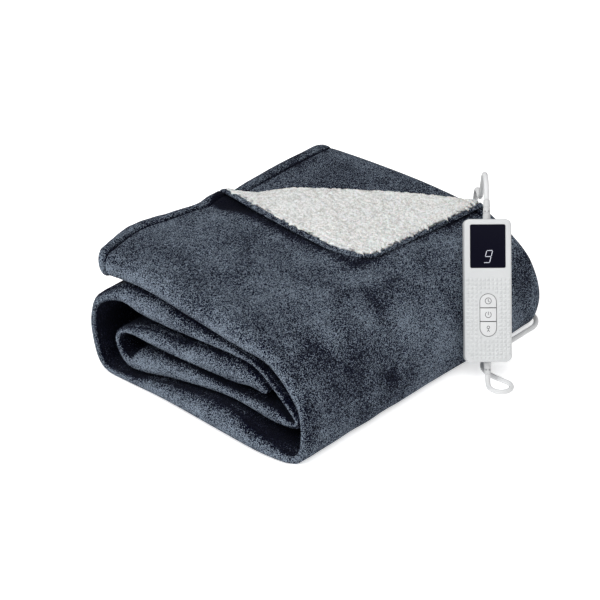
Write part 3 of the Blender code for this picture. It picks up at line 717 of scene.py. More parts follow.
def catmull_rom(before: float, start: float, end: float, after: float, part: float) -> float:
    """One number on a smooth curve through four.

    Args:
        before: The number before start.
        start: Where the stretch begins.
        end: Where it ends.
        after: The number after end.
        part: How far through the stretch, 0 to 1.

    Returns:
        The number there.
    """
    return 0.5 * (
        2 * start
        + (end - before) * part
        + (2 * before - 5 * start + 4 * end - after) * part ** 2
        + (3 * start - before - 3 * end + after) * part ** 3
    )


def from_foot(x: float, y: float, z: float) -> Vector:
    """A point measured from the middle of the front foot, in the part's own frame."""
    return Vector((x - FOOT[0], y - FOOT[1], z))


@dataclass
class RollPath:
    """The outer face of the rolled strip, as sections along its way."""

    fine: int = 16
    reach: float = 2 * MM
    last_row: float = 3 * MM
    knots: list[Knot] = field(default_factory=lambda: [knot for rows in ROLL.values() for knot in rows])

    def __post_init__(self) -> None:
        """Sample the knots finely for lengths and tangents."""
        self.spans = len(self.knots) - 1
        self.samples = [self.knot_at(step / self.fine) for step in range(self.spans * self.fine + 1)]
        self.way = [0.0]
        for one, two in zip(self.samples, self.samples[1:]):
            near = math.hypot(two.y - one.y, two.z - one.z)
            far = math.hypot(two.far_y - one.far_y, two.far_z - one.far_z)
            self.way.append(self.way[-1] + MM * (near + far) / 2)
        self.length = self.way[-1]

    def knot_at(self, place: float) -> Knot:
        """The knot at a place between the given ones.

        Args:
            place: The place, counted in knots from the first.

        Returns:
            The knot there.
        """
        index = min(int(place), self.spans - 1)
        around = [self.knots[min(max(index + shift, 0), self.spans)] for shift in (-1, 0, 1, 2)]
        return Knot(*(catmull_rom(*values, place - index) for values in zip(*around)))

    def sample_at(self, way: float) -> Knot:
        """The knot at a way along the strip.

        Args:
            way: The way in metres.

        Returns:
            The knot there.
        """
        way = min(max(way, 0.0), self.length)
        high = max(bisect.bisect_left(self.way, way), 1)
        low = high - 1
        part = (way - self.way[low]) / (self.way[high] - self.way[low])
        pairs = zip(self.samples[low], self.samples[high])
        return Knot(*(one + (two - one) * part for one, two in pairs))

    def section(self, way: float, along: float) -> tuple[Span, Span, float]:
        """The strip's outer point, outward direction and thickness.

        Args:
            way: The way along the strip.
            along: 0 at the layered end to 1 at the far end.

        Returns:
            The point (y, z), the direction (y, z) and the thickness.
        """
        y, z, thick = self.blend(self.sample_at(way), along)
        ahead = self.blend(self.sample_at(way + self.reach), along)
        behind = self.blend(self.sample_at(way - self.reach), along)
        run_y, run_z = ahead[0] - behind[0], ahead[1] - behind[1]
        size = math.hypot(run_y, run_z)
        return (y, z), (run_z / size, -run_y / size), thick

    @staticmethod
    def blend(knot: Knot, along: float) -> tuple[float, float, float]:
        """The strip at one place between its two ends.

        Args:
            knot: The knot, with what holds at either end.
            along: 0 at the layered end to 1 at the far end.

        Returns:
            The outer point's y and z and the thickness, in metres.
        """
        share = ease(along)
        pairs = ((knot.y, knot.far_y), (knot.z, knot.far_z), (knot.thick, knot.far_thick))
        y, z, thick = (MM * (near + (far - near) * share) for near, far in pairs)
        return y, max(z, 0.0), thick

    def stations(self, first: Sequence[float], near_step: float, near_end: float, far_step: float,
                 turn: float) -> list[float]:
        """The ways at which the cloth gets a row of points.

        Args:
            first: The rows of the hem.
            near_step: Longest step on the outside of the bundle.
            near_end: The way at which the outside ends.
            far_step: Longest step beyond it.
            turn: Largest turn between two rows, in radians.

        Returns:
            The ways, in order.
        """
        rows = list(first)
        heading = 0.0
        for index in range(1, len(self.samples)):
            one, two = self.samples[index - 1], self.samples[index]
            angle = math.atan2(two.z - one.z, two.y - one.y)
            if self.way[index] <= first[-1]:
                heading = angle
                continue
            turned = abs(math.remainder(angle - heading, 2 * math.pi))
            limit = near_step if self.way[index] < near_end else far_step
            while self.way[index] - rows[-1] > 1.5 * limit:
                rows.append(rows[-1] + limit)
            if self.way[index] - rows[-1] > limit or turned > turn:
                rows.append(self.way[index])
                heading = angle
        if self.length - rows[-1] < far_step / 3:
            rows.pop()
        return rows + [self.length - self.last_row, self.length]


class Plane(NamedTuple):
    """A point of the top layer: x along the bundle, q the way along the strip."""

    x: float
    q: float


@dataclass
class CornerTurn:
    """The fold line of the turned corner, and where the cloth beyond it comes to lie."""

    corner: Plane
    start: Plane = Plane(2 * MM, 0 * MM)
    end: Plane = Plane(199 * MM, 262 * MM)
    tip: Plane = Plane(-16 * MM, 229 * MM)
    end_hem_bow: float = 20 * MM
    long_hem_bow: float = -2 * MM
    bow_skew: float = 0.7
    # the turn's inner radius, tightest near its start, and how the turned cloth comes to rest
    radius: float = 1.1 * MM
    pinch: float = 0.45
    cloth: float = 3.5 * MM
    rest: float = 1.0 * MM
    settle: float = 45 * MM
    pinch_at: float = 46 * MM
    pinch_span: float = 34 * MM
    # the fold line's dent near its start, and how flat and how high the turned cloth lies
    dent: float = 15 * MM
    dent_fade: float = 34 * MM
    squash: float = 0.35
    hood: float = 5 * MM
    hood_away: float = 32 * MM
    # the shade that the turned hems throw on the layer under them
    shade_width: float = 9 * MM
    shade_reach: float = 56 * MM
    hem_step: float = 6 * MM

    def __post_init__(self) -> None:
        """Find the fold line's direction, and the stretch that brings the corner to its tip."""
        run_x, run_q = self.end.x - self.start.x, self.end.q - self.start.q
        size = math.hypot(run_x, run_q)
        self.line = (run_x / size, run_q / size)
        self.across = (self.line[1], -self.line[0])
        self.corner_along, self.corner_away = self.split(*self.corner)
        tip_along, tip_away = self.split(*self.tip)
        self.roll = math.pi * (self.radius + self.cloth)
        self.stretch = (self.roll - tip_away) / self.corner_away
        self.shear = (tip_along - self.corner_along) / self.corner_away
        self.line_length = size
        end_hem = spread(self.start.x, self.corner.x, self.hem_step)
        long_hem = spread(0.0, self.end.q, self.hem_step)
        hems = [(x, 0.0) for x in end_hem] + [(self.corner.x, q) for q in long_hem]
        self.outline = [self.turned(x, q, 0.0)[:2] for x, q in hems]

    def split(self, x: float, q: float) -> tuple[float, float]:
        """A point's way along the fold line and its distance beyond it."""
        dx, dq = x - self.start.x, q - self.start.q
        return dx * self.line[0] + dq * self.line[1], dx * self.across[0] + dq * self.across[1]

    def loft(self, along: float) -> float:
        """The fold's inner radius at a place along its line: pinched near its start."""
        return self.radius * (1 - self.pinch * bell(along - self.pinch_at, self.pinch_span))

    def nip(self, x: float, q: float) -> tuple[float, float]:
        """Draw a point near the fold back where the fold line dents.

        Args:
            x: Its place along the bundle.
            q: Its way along the strip.

        Returns:
            The new x and q.
        """
        along, away = self.split(x, q)
        fade = math.exp(-abs(away) / self.dent_fade)
        back = self.dent * bell(along - self.pinch_at, self.pinch_span) * fade
        return x - back * self.across[0], q - back * self.across[1]

    def bows(self, along: float, away: float) -> tuple[float, float, float]:
        """How far the turned hems bow out from the straight lines.

        Args:
            along: The point's way along the fold line.
            away: Its distance beyond the line.

        Returns:
            The bow in x, the bow in q, and how near the end hem is, 0 to 1.
        """
        part = clamp(away / self.corner_away)
        low = self.corner_along * part
        high = self.line_length + (self.corner_along - self.line_length) * part
        side = clamp((along - low) / max(high - low, MM))
        bow = math.sin(math.pi * part ** self.bow_skew)
        return -self.end_hem_bow * bow * (1 - side) ** 2, self.long_hem_bow * bow * side ** 2, 1 - side

    def shade(self, x: float, q: float) -> tuple[float, float]:
        """How near a point of the top layer lies to the turned hems.

        Args:
            x: Its place along the bundle.
            q: Its way along the strip.

        Returns:
            The nearness to the hems and the nearness to the fold's start, each 0 to 1.
        """
        x, q = self.nip(x, q)
        start = bell(math.hypot(x - self.start.x, q - self.start.q), self.shade_reach)
        hem = min(math.hypot(x - hem_x, q - hem_q) for hem_x, hem_q in self.outline)
        return bell(hem, self.shade_width * (1 + start)), start

    def turned(self, x: float, q: float, depth: float) -> tuple[float, float, float]:
        """Where a point beyond the line comes to lie.

        Args:
            x: Its place along the bundle before the turn.
            q: Its way along the strip before the turn.
            depth: Its depth under the plush face.

        Returns:
            The new x and q, and the height over the top layer.
        """
        along, away = self.split(x, q)
        bow_x, bow_q, hem_side = self.bows(along, away)
        inner = self.loft(along)
        along += away * self.shear
        away *= self.stretch
        depth *= 1 - self.squash * min(away / self.roll, 1.0)
        radius = inner + depth
        if away < self.roll:
            angle = math.pi * away / self.roll
            away = radius * math.sin(angle)
            lift = inner - radius * math.cos(angle)
        else:
            away = self.roll - away
            lift = self.rest + (2 * inner - self.rest) * math.exp(away / self.settle) + depth
            bump = -away / self.hood_away
            lift += self.hood * hem_side ** 3 * bump * math.exp(1 - bump)
        x = self.start.x + along * self.line[0] + away * self.across[0]
        q = self.start.q + along * self.line[1] + away * self.across[1]
        return *self.nip(x + bow_x, q + bow_q), lift


@dataclass
class LetterFold:
    """Where a point of the flat cloth comes to lie in the folded and rolled strip.

    The cloth's own coordinates are s, across its width from the free long hem, and q, along
    its length from the end hem.  Depth is 0 on the plush face and 1 on the fleece side.
    """

    # the strip's length, its layers as shares of its thickness, and its two long folds
    strip: float = 410 * MM
    fold_room: float = 20 * MM
    fold_way: float = 30 * MM
    layer: float = 0.29
    front_bulge: float = 0.4
    back_bulge: float = 0.25
    # the hems: where they lie, how wide they are and how they stand out
    hem_inset: float = 8 * MM
    hem_wrap: float = -6 * MM
    inner_inset: float = 30 * MM
    hem_width: float = 14 * MM
    smooth: Span = (245 * MM, 290 * MM)
    under_hem: float = 19 * MM
    under_roll: float = 0.2
    under_fade: float = 40 * MM
    corner_round: float = 40 * MM
    # the end hem's bulge towards the back, near the layered end
    swell: float = 21 * MM
    swell_x: float = -136 * MM
    swell_span: float = 54 * MM
    swell_depth: float = 70 * MM
    # the seam, the cloth's rim and the waves in the plush
    seam_width: float = 1.2 * MM
    seam_pinch: float = 0.42
    hem_puff: float = 0.14
    rim: float = 3.2 * MM
    ripple: float = 2.4 * MM
    ripple_parts: tuple[float, float, float] = (0.55, 0.75, 0.35)
    broad_scale: Span = (11.0, 9.0)
    narrow_scale: Span = (34.0, 22.0)
    narrow_skew: Span = (9.0, -8.0)
    ripple_fade: Span = (12 * MM, 45 * MM)
    hem_rise: float = 3.4 * MM
    hem_lumps: tuple[float, float] = (0.85, 0.30)
    lump_scale: float = 70.0
    fold_roll: tuple[float, float] = (0.6, 0.4)
    shown_span: Span = (12 * MM, 34 * MM)
    turned_rise: float = 1.6 * MM
    front_round: float = 8 * MM
    back_round: float = 26 * MM
    # the hollow beside the turned corner
    hollow: Plane = Plane(-17 * MM, 37 * MM)
    hollow_run: tuple[float, float] = (0.6, 0.8)
    hollow_size: tuple[float, float] = (46 * MM, 15 * MM)
    hollow_depth: float = 6 * MM

    def __post_init__(self) -> None:
        """Lay out the three thirds and the two folds across the width."""
        panel = self.strip - self.fold_room
        self.half = self.strip / 2
        self.air = (1 - 3 * self.layer) / 2
        self.outer = (0.0, panel)
        self.front_fold = (self.outer[1], self.outer[1] + self.fold_way)
        self.inner = (self.front_fold[1], self.front_fold[1] + panel)
        self.back_fold = (self.inner[1], self.inner[1] + self.fold_way)
        self.middle = (self.back_fold[1], self.back_fold[1] + panel - self.inner_inset)
        self.width = self.middle[1]
        self.path = RollPath()
        outside = sum(len(ROLL[name]) for name in OUTSIDE) - 1
        self.outside_way = self.path.way[outside * self.path.fine]
        self.turn = CornerTurn(Plane(self.half - self.hem_inset, 0.0))

    @staticmethod
    def part(span: Span, s: float) -> float:
        """How far s is through a span: 0 at its start and 1 at its end."""
        return (s - span[0]) / (span[1] - span[0])

    @staticmethod
    def corner_inset(radius: float, q: float) -> float:
        """How far a fold's rounded corner stands back at a way from the end hem."""
        return radius * (1 - arch(1 - q / radius)) if q < radius else 0.0

    def hem_roll(self, s: float, q: float) -> float:
        """How far the stuffed hem stands out of the cloth.

        Args:
            s: The flat point's place across the width.
            q: Its place along the length.

        Returns:
            The height in metres.
        """
        part = 2 * self.edge_distance(s, q) / self.hem_reach(s) - 1
        lumps = self.hem_lumps[0]
        lumps += self.hem_lumps[1] * soft_noise(s * self.lump_scale, q * self.lump_scale, seed=2.0)
        return self.hem_rise * self.hem_shown(s, q) * lumps * arch(part)

    def hem_shown(self, s: float, q: float) -> float:
        """How plainly a hem and its seam show: beyond the turned corner the long hem lies smooth."""
        return 1.0 if q < s else 1 - ease(self.part(self.smooth, q))

    def dip(self, x: float, q: float) -> float:
        """How deep the top sinks in the hollow beside the turned corner.

        Args:
            x: The point's place along the bundle.
            q: Its way along the strip.

        Returns:
            The depth in metres.
        """
        dx, dq = x - self.hollow.x, q - self.hollow.q
        along = dx * self.hollow_run[0] + dq * self.hollow_run[1]
        across = dx * self.hollow_run[1] - dq * self.hollow_run[0]
        return self.hollow_depth * bell(along, self.hollow_size[0]) * bell(across, self.hollow_size[1])

    def locate(self, s: float, q: float, depth: float, roll: float = 0.0) -> tuple[float, float]:
        """The cloth point's x and its share through the strip's thickness.

        Args:
            s: Its place across the width.
            q: Its place along the length.
            depth: Its depth through the cloth.
            roll: How far the hem stands out of the plush there.

        Returns:
            The x and the share.
        """
        knot = self.path.sample_at(q)
        thick = self.path.blend(knot, 0.5)[2]
        front = -self.half + self.front_bulge * thick - MM * knot.reach
        front += self.corner_inset(self.front_round, q)
        back = self.half - self.back_bulge * thick + MM * knot.far_reach
        back -= self.corner_inset(self.back_round, q)
        roll *= (1 - depth) / thick
        if s <= self.outer[1]:
            hem = self.half - self.hem_inset + MM * knot.far_reach
            hem += (self.hem_inset + self.hem_wrap) * ease(self.part(self.smooth, q))
            return hem + (front - hem) * self.part(self.outer, s), self.layer * depth
        if s < self.inner[0]:
            turn = math.pi * self.part(self.front_fold, s)
            reach = 0.5 - self.layer * depth
            reach += roll * (self.fold_roll[0] + self.fold_roll[1] * math.cos(turn))
            return front - reach * thick * math.sin(turn), 0.5 - reach * math.cos(turn)
        if s <= self.inner[1]:
            under = self.under_roll * roll * max(1 - (s - self.inner[0]) / self.under_fade, 0.0)
            return front + (back - front) * self.part(self.inner, s), 1 - self.layer * depth + under
        if s < self.middle[0]:
            turn = math.pi * self.part(self.back_fold, s)
            middle = 1 - self.layer - self.air / 2
            reach = self.layer * (1 - depth) + self.air / 2
            return back + reach * thick * math.sin(turn), middle + reach * math.cos(turn)
        hem = -self.half + self.inner_inset
        share = self.layer + self.air + self.layer * depth
        return back + (hem - back) * self.part(self.middle, s), share

    def rounded(self, s: float, q: float) -> tuple[float, float]:
        """Bring a flat point onto rings about the cloth's rounded corner.

        Args:
            s: Its place across the width.
            q: Its place along the length.

        Returns:
            The new s and q.
        """
        side, end = self.corner_round - s, self.corner_round - q
        if side <= 0 or end <= 0:
            return s, q
        if side >= end:
            angle = math.pi / 4 * end / side
            side, end = side * math.cos(angle), side * math.sin(angle)
        else:
            angle = math.pi / 4 * side / end
            side, end = end * math.sin(angle), end * math.cos(angle)
        return self.corner_round - side, self.corner_round - end

    def edge_distance(self, s: float, q: float) -> float:
        """How far a flat point lies inside the nearest hem."""
        return min(s, q, self.width - s, self.path.length - q)

    def hem_reach(self, s: float) -> float:
        """The hem's width: rolled on the top layer and pressed flatter on the layer under it."""
        return self.hem_width + (self.under_hem - self.hem_width) * clamp(self.part(self.inner, s))

    def hemmed(self, s: float, q: float, depth: float) -> float:
        """The depth of a point, changed by the rounded rim, the puffed hem and its seam.

        Args:
            s: Its place across the width.
            q: Its place along the length.
            depth: Its depth through an even cloth, 0 to 1.

        Returns:
            The depth that it has there.
        """
        inside = max(self.edge_distance(s, q), 0.0)
        hem = self.hem_reach(s)
        fullness = arch(1 - inside / self.rim) if inside < self.rim else 1.0
        if inside < hem:
            fullness *= 1 + self.hem_puff * math.sin(math.pi * inside / hem)
        fullness *= 1 - self.seam_pinch * self.hem_shown(s, q) * bell(inside - hem, self.seam_width)
        return 0.5 + (depth - 0.5) * fullness

    def ripples(self, x: float, q: float) -> float:
        """Height of the soft waves of the outer face at a point of the top layer.

        Args:
            x: The point's place along the bundle.
            q: Its way along the strip.

        Returns:
            The height in metres.
        """
        level, broad, narrow = self.ripple_parts
        waves = level + broad * soft_noise(x * self.broad_scale[0], q * self.broad_scale[1], seed=3.1)
        skewed_x = x * self.narrow_scale[0] + q * self.narrow_skew[0]
        skewed_q = q * self.narrow_scale[1] + x * self.narrow_skew[1]
        waves += narrow * soft_noise(skewed_x, skewed_q, seed=8.4)
        return self.ripple * max(waves, 0.0)

    def place(self, s: float, q: float, depth: float, rise: float = 0.0) -> Vector:
        """The cloth point in space.

        Args:
            s: Its place across the width.
            q: Its place along the length.
            depth: Its depth through the cloth, 0 to 1.
            rise: How far it stands out of the fleece side, in metres.

        Returns:
            The point in the part's frame.
        """
        roll = self.hem_roll(s, q)
        depth = self.hemmed(s, q, depth)
        s, q = self.rounded(s, q)
        x, share = self.locate(s, q, depth, roll)
        lift = 0.0
        away = self.turn.split(x, q)[1]
        sunk = self.dip(x, q)
        if s <= self.outer[1] and away > 0:
            thick = self.path.blend(self.path.sample_at(q), self.along(x))[2]
            stuffed = self.turned_rise / self.hem_rise * roll * max(depth, 0.0)
            x, q, lift = self.turn.turned(x, q, self.layer * thick * depth + stuffed + rise)
            share = 0.0
            sunk *= max(1 - away * self.turn.stretch / self.turn.roll, 0.0)
        elif s <= self.outer[1]:
            fade = clamp(self.part(self.ripple_fade, self.edge_distance(s, q)))
            lift = (1 - depth) * (self.ripples(x, q) * fade + roll) - rise
            x, q = self.turn.nip(x, q)
        elif s >= self.back_fold[0]:
            lift = (1 - depth) * roll * clamp(self.part(self.shown_span, away))
        (y, z), (out_y, out_z), thick = self.path.section(q, self.along(x))
        stand = lift - share * thick - sunk * max(1 - share, 0.0)
        swell = self.swell * bell(x - self.swell_x, self.swell_span)
        y += swell * math.exp(-max(q, 0.0) / self.swell_depth)
        point = from_foot(x, y + out_y * stand, z + out_z * stand)
        point.z = max(point.z, 0.0)
        return point

    def along(self, x: float) -> float:
        """How far x is from the layered end to the far end, from 0 to 1."""
        return clamp((x + self.half) / self.strip)


def spread(low: float, high: float, step: float) -> list[float]:
    """Even places from low to high, no further apart than a step, without the last."""
    count = max(math.ceil((high - low) / step - 1e-6), 1)
    return [low + (high - low) * index / count for index in range(count)]


def flat_grid(columns: Sequence[float], rows: Sequence[float]) -> bmesh.types.BMesh:
    """A flat grid with uneven columns and rows.

    Args:
        columns: The places of its points across.
        rows: The places of its points along.

    Returns:
        The grid.
    """
    bm = bmesh.new()
    bmesh.ops.create_grid(bm, x_segments=len(columns) - 1, y_segments=len(rows) - 1, size=0.5)
    for vert in bm.verts:
        column = round((vert.co.x + 0.5) * (len(columns) - 1))
        row = round((vert.co.y + 0.5) * (len(rows) - 1))
        vert.co = (columns[column], rows[row], 0.0)
    return bm


def note_uv(bm: bmesh.types.BMesh) -> None:
    """Keep each point's flat place as its UV.

    Args:
        bm: The flat mesh.
    """
    layer = bm.loops.layers.uv.new("flat")
    for face in bm.faces:
        for loop in face.loops:
            loop[layer].uv = (loop.vert.co.x, loop.vert.co.y)


def extruded(bm: bmesh.types.BMesh) -> set[bmesh.types.BMVert]:
    """Give a flat mesh a second face, joined round its rim, and hand back that face's points."""
    layer = bmesh.ops.extrude_face_region(bm, geom=bm.faces[:], use_keep_orig=True)
    return {item for item in layer["geom"] if isinstance(item, bmesh.types.BMVert)}


@dataclass
class Blanket:
    """The cloth, its turned corner and the tufted lining that shows on it.

    Cuts are in millimetres from the hem or the fold that they belong to.
    """

    fold: LetterFold
    flat_size: Span = (1.30, 1.80)
    # the columns and rows of the cloth's grid
    hem_cuts: tuple[float, ...] = (0.0, 0.5, 1.3, 2.4, 3.5, 5.0, 7.0, 9.0, 11.0, 12.6, 14.0, 15.4,
                                   17.4, 19.0, 20.6, 22.5)
    outer_step: float = 5.6 * MM
    front_columns: int = 14
    inner_cuts: tuple[float, ...] = (0, 4, 9, 16, 26, 42)
    inner_step: float = 40 * MM
    inner_from: float = 70 * MM
    inner_last: tuple[float, ...] = (40, 20, 8)
    back_columns: int = 8
    middle_step: float = 22 * MM
    end_cuts: tuple[float, ...] = (12, 9, 5, 2.4, 1, 0)
    near_row: float = 5.0 * MM
    far_row: float = 11.0 * MM
    row_turn: float = math.radians(11)
    near_way: float = 470 * MM
    # the lines along which the corner turns
    turn_cuts: int = 9
    turn_margin: float = 30 * MM
    cut_merge: float = 1e-5
    # the fleece, and the cloth's own fleece face, which is drawn in under it
    lining_step: float = 1.25 * MM
    lining_start: Span = (3.6 * MM, 6.0 * MM)
    lining_over: Span = (8 * MM, 20 * MM)
    lining_turn: float = 0.22
    lining_depths: Span = (0.60, 1.0)
    field_play: float = 0.5 * MM
    field_turn: float = 0.25
    field_depth: float = 0.55
    rim_fade: float = 4 * MM
    rim_shag: float = 6.0 * MM
    shag_scale: float = 260.0
    tuft_size: float = 4.6 * MM
    tuft_swirl: float = 0.35
    swirl_scale: float = 0.9
    tuft_round: float = 0.78
    tuft_share: float = 0.60
    wool_share: float = 0.45
    tuft_height: float = 3.0 * MM
    wool_scale: float = 620.0
    rim_tufts: float = 0.35
    # the painted light in the plush's colour, for PlushFinish: painted shade in the gaps, on the middle
    # layer, on the top, towards the front's layered end, at the seam and beside the turned corner;
    # painted highlights on the crests
    gap_reach: float = 9 * MM
    outer_gap: float = 0.5
    inner_gap: float = 0.3
    deep_light: float = 0.2
    under_light: float = 0.82
    # crest: painted highlight on the fold crests
    crest: float = 1.34
    crest_sharp: float = 1.2
    seam_shade: float = 0.9
    top_shade: float = 0.08
    front_span: Span = (250 * MM, 300 * MM)
    front_shade: float = 0.24
    front_even: float = 0.62
    front_patches: float = 0.95
    front_patch_scale: Span = (24.0, 13.0)
    hollow_shade: float = 2.8
    flap_shade: float = 0.75

    def columns(self) -> list[float]:
        """The places across the width at which the cloth gets a column of points.

        Returns:
            The places in metres, in order.
        """
        fold = self.fold
        hem = [MM * cut for cut in self.hem_cuts]
        outer = spread(hem[-1], fold.outer[1], self.outer_step)
        front = spread(*fold.front_fold, fold.fold_way / self.front_columns)
        inner = [fold.inner[0] + MM * cut for cut in self.inner_cuts]
        last = [fold.inner[1] - MM * cut for cut in self.inner_last]
        inner += spread(fold.inner[0] + self.inner_from, last[0], self.inner_step) + last
        back = spread(*fold.back_fold, fold.fold_way / self.back_columns)
        end = [fold.middle[1] - MM * cut for cut in self.end_cuts]
        middle = spread(fold.middle[0], end[0], self.middle_step)
        return hem[:-1] + outer + front + inner + back + middle + end

    def turn_line(self, part: float) -> tuple[Place, Place]:
        """A line of the flat cloth that runs along the corner's turn.

        Args:
            part: How far through the turn it lies, 0 to 1.

        Returns:
            A point on the line, and its normal.
        """
        turn = self.fold.turn
        away = turn.roll * part / turn.stretch
        hem = self.fold.half - self.fold.hem_inset
        point = (hem - turn.start.x - away * turn.across[0], away * turn.across[1], 0.0)
        return point, (-turn.across[0], turn.across[1], 0.0)

    def cut_turn(self, bm: bmesh.types.BMesh) -> None:
        """Split the flat cloth along the lines of the corner's turn, so that it turns cleanly.

        Args:
            bm: The flat cloth.
        """
        for step in range(self.turn_cuts):
            point, normal = self.turn_line(step / (self.turn_cuts - 1))
            faces = [face for face in bm.faces if self.near_corner(face)]
            geometry = list({item for face in faces for item in (face, *face.edges, *face.verts)})
            bmesh.ops.bisect_plane(bm, geom=geometry, dist=self.cut_merge, plane_co=point,
                                   plane_no=normal)

    def near_corner(self, face: bmesh.types.BMFace) -> bool:
        """Whether a flat face lies in the part of the top layer that the fold line crosses."""
        middle = face.calc_center_median()
        return middle.x < self.fold.outer[1] and middle.y < self.fold.turn.end.q + self.turn_margin

    def in_field(self, s: float, q: float) -> bool:
        """Whether a flat point lies beyond the start of the turn and inside the hems.

        Args:
            s: Its place across the width.
            q: Its place along the length.

        Returns:
            True under the lining.
        """
        fold = self.fold
        start_s, start_q = (start - self.field_play for start in self.lining_start)
        if not start_s <= s <= fold.outer[1] or q < start_q:
            return False
        away = fold.turn.split(fold.half - fold.hem_inset - s, q)[1]
        return away > self.field_turn * fold.turn.roll / fold.turn.stretch

    def top_light(self, s: float, q: float) -> float:
        """How much painted light the outer layer gets: painted shade beside the turned hems and in the
        hollow, on the top and towards the front's layered end, with random patches on the front.

        Args:
            s: The flat point's place across the width.
            q: Its place along the length.

        Returns:
            The number.
        """
        fold = self.fold
        outside = 1.0 if q < fold.outside_way else 0.0
        gap = min(s, fold.outer[1] - s)
        light = max(outside, math.exp(-gap / self.gap_reach) * self.outer_gap)
        x = fold.locate(s, q, 0.0)[0]
        front = clamp(fold.part(self.front_span, q)) * outside
        light -= self.front_shade * (self.front_even - fold.along(x)) * front
        light -= self.top_shade * (outside - front)
        scale_x, scale_q = self.front_patch_scale
        light += self.front_patches * front * soft_noise(x * scale_x, q * scale_q, seed=6.0)
        if q < fold.turn.end.q + self.turn_margin:
            hem, start = fold.turn.shade(x, q)
            shade = hem * (self.flap_shade + (self.hollow_shade - self.flap_shade) * start)
            light -= shade * min(q / fold.hem_width, 1.0) ** 2
        return light

    def openness(self, s: float, q: float) -> float:
        """How much painted light the plush gets: painted shade down to 0 in the gaps and at the seam, 1
        outside, and a painted highlight above 1 on a crest.

        Args:
            s: The flat point's place across the width.
            q: Its place along the length.

        Returns:
            The number.
        """
        fold = self.fold
        if s <= fold.outer[1]:
            light = self.top_light(s, q)
        elif s < fold.inner[0]:
            turn = fold.part(fold.front_fold, s)
            light = self.crest * math.sin(math.pi * turn) ** self.crest_sharp
            if turn < 0.5 and q < fold.outside_way:
                light = max(light, 1.0)
        elif s <= fold.inner[1]:
            gap = min(s - fold.inner[0], fold.inner[1] - s)
            light = math.exp(-gap / self.gap_reach) * self.inner_gap
        else:
            light = self.under_light if q < self.near_way else self.deep_light
        seam = bell(fold.edge_distance(s, q) - fold.hem_reach(s), fold.seam_width)
        return light - self.seam_shade * fold.hem_shown(s, q) * seam

    def build_cloth(self, finishes: Finishes) -> bpy.types.Object:
        """The blanket: plush outside, fleece inside, in all its folds.

        Args:
            finishes: The object's materials.

        Returns:
            The cloth.
        """
        fold = self.fold
        hem = [MM * cut for cut in self.hem_cuts]
        rows = fold.path.stations(hem, self.near_row, self.near_way, self.far_row, self.row_turn)
        bm = flat_grid(self.columns(), rows)
        self.cut_turn(bm)
        # painted light for the plush's colour: painted shade in the gaps and beside the turned corner,
        # painted highlights on the crests
        light = bm.verts.layers.float.new(PlushFinish.painted_light_name)
        note_uv(bm)
        raised = extruded(bm)
        for face in bm.faces:
            if all(vert in raised for vert in face.verts):
                middle = face.calc_center_median()
                inside = fold.edge_distance(middle.x, middle.y)
                face.material_index = int(inside > fold.hem_reach(middle.x) - 0.1 * MM)
        for vert in bm.verts:
            s, q, _ = vert.co
            if vert in raised:
                vert[light] = 1.0
                vert.co = fold.place(s, q, self.field_depth if self.in_field(s, q) else 1.0)
            else:
                vert[light] = self.openness(s, q)
                vert.co = fold.place(s, q, 0.0)
        bmesh.ops.recalc_face_normals(bm, faces=bm.faces)
        cloth = add_piece("blanket_cloth", bm, (finishes.plush, finishes.fleece), sharp=70)
        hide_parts("blanket")
        return cloth

    def tuft(self, s: float, q: float) -> float:
        """Height of the fleece's curls.

        Args:
            s: The flat point's place across the width.
            q: Its place along the length.

        Returns:
            The height, 0 to 1.
        """
        spot = Vector((s / self.tuft_size, q / self.tuft_size, 0.0))
        spot += self.tuft_swirl * noise.noise_vector(spot * self.swirl_scale)
        near = noise.voronoi(spot)[0][0]
        blob = max(1 - (near / self.tuft_round) ** 2, 0.0)
        wool = 0.5 + 0.8 * soft_noise(s * self.wool_scale, q * self.wool_scale, seed=5.0)
        return clamp(self.tuft_share * blob + self.wool_share * wool)

    def build_lining(self, finishes: Finishes) -> bpy.types.Object:
        """The curly fleece where the turned corner shows it.

        Args:
            finishes: The object's materials.

        Returns:
            The lining.
        """
        fold = self.fold
        start_s, start_q = self.lining_start
        end_s, end_q = fold.half + self.lining_over[0], fold.turn.end.q + self.lining_over[1]
        columns = spread(start_s, end_s, self.lining_step) + [end_s]
        rows = spread(start_q, end_q, self.lining_step) + [end_q]
        bm = flat_grid(columns, rows)
        point, normal = self.turn_line(self.lining_turn)
        bmesh.ops.bisect_plane(bm, geom=bm.verts[:] + bm.edges[:] + bm.faces[:], dist=self.cut_merge,
                               plane_co=point, plane_no=normal, clear_inner=True)
        heights = bm.verts.layers.float.new(FleeceFinish.tuft_name)
        note_uv(bm)
        raised = extruded(bm)
        for vert in bm.verts:
            s, q, _ = vert.co
            height = self.tuft(s, q)
            vert[heights] = height
            rim = clamp(min(s - start_s, q - start_q) / self.rim_fade)
            shag = self.rim_shag * (1 - rim)
            s += shag * soft_noise(s * self.shag_scale, q * self.shag_scale, seed=7.0)
            q += shag * soft_noise(s * self.shag_scale, q * self.shag_scale, seed=1.0)
            if vert in raised:
                share = self.rim_tufts + (1 - self.rim_tufts) * math.sqrt(rim)
                vert.co = fold.place(s, q, self.lining_depths[1], self.tuft_height * height * share)
            else:
                vert.co = fold.place(s, q, self.lining_depths[0])
        bmesh.ops.recalc_face_normals(bm, faces=bm.faces)
        lining = add_piece("fleece_lining", bm, (finishes.tufted,), sharp=180)
        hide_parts("sherpa_lining")
        return lining

    def build(self, finishes: Finishes) -> list[bpy.types.Object]:
        """Args:
            finishes: The object's materials.

        Returns:
            The two pieces.
        """
        cloth = self.build_cloth(finishes)
        lining = self.build_lining(finishes)
        return [cloth, lining]


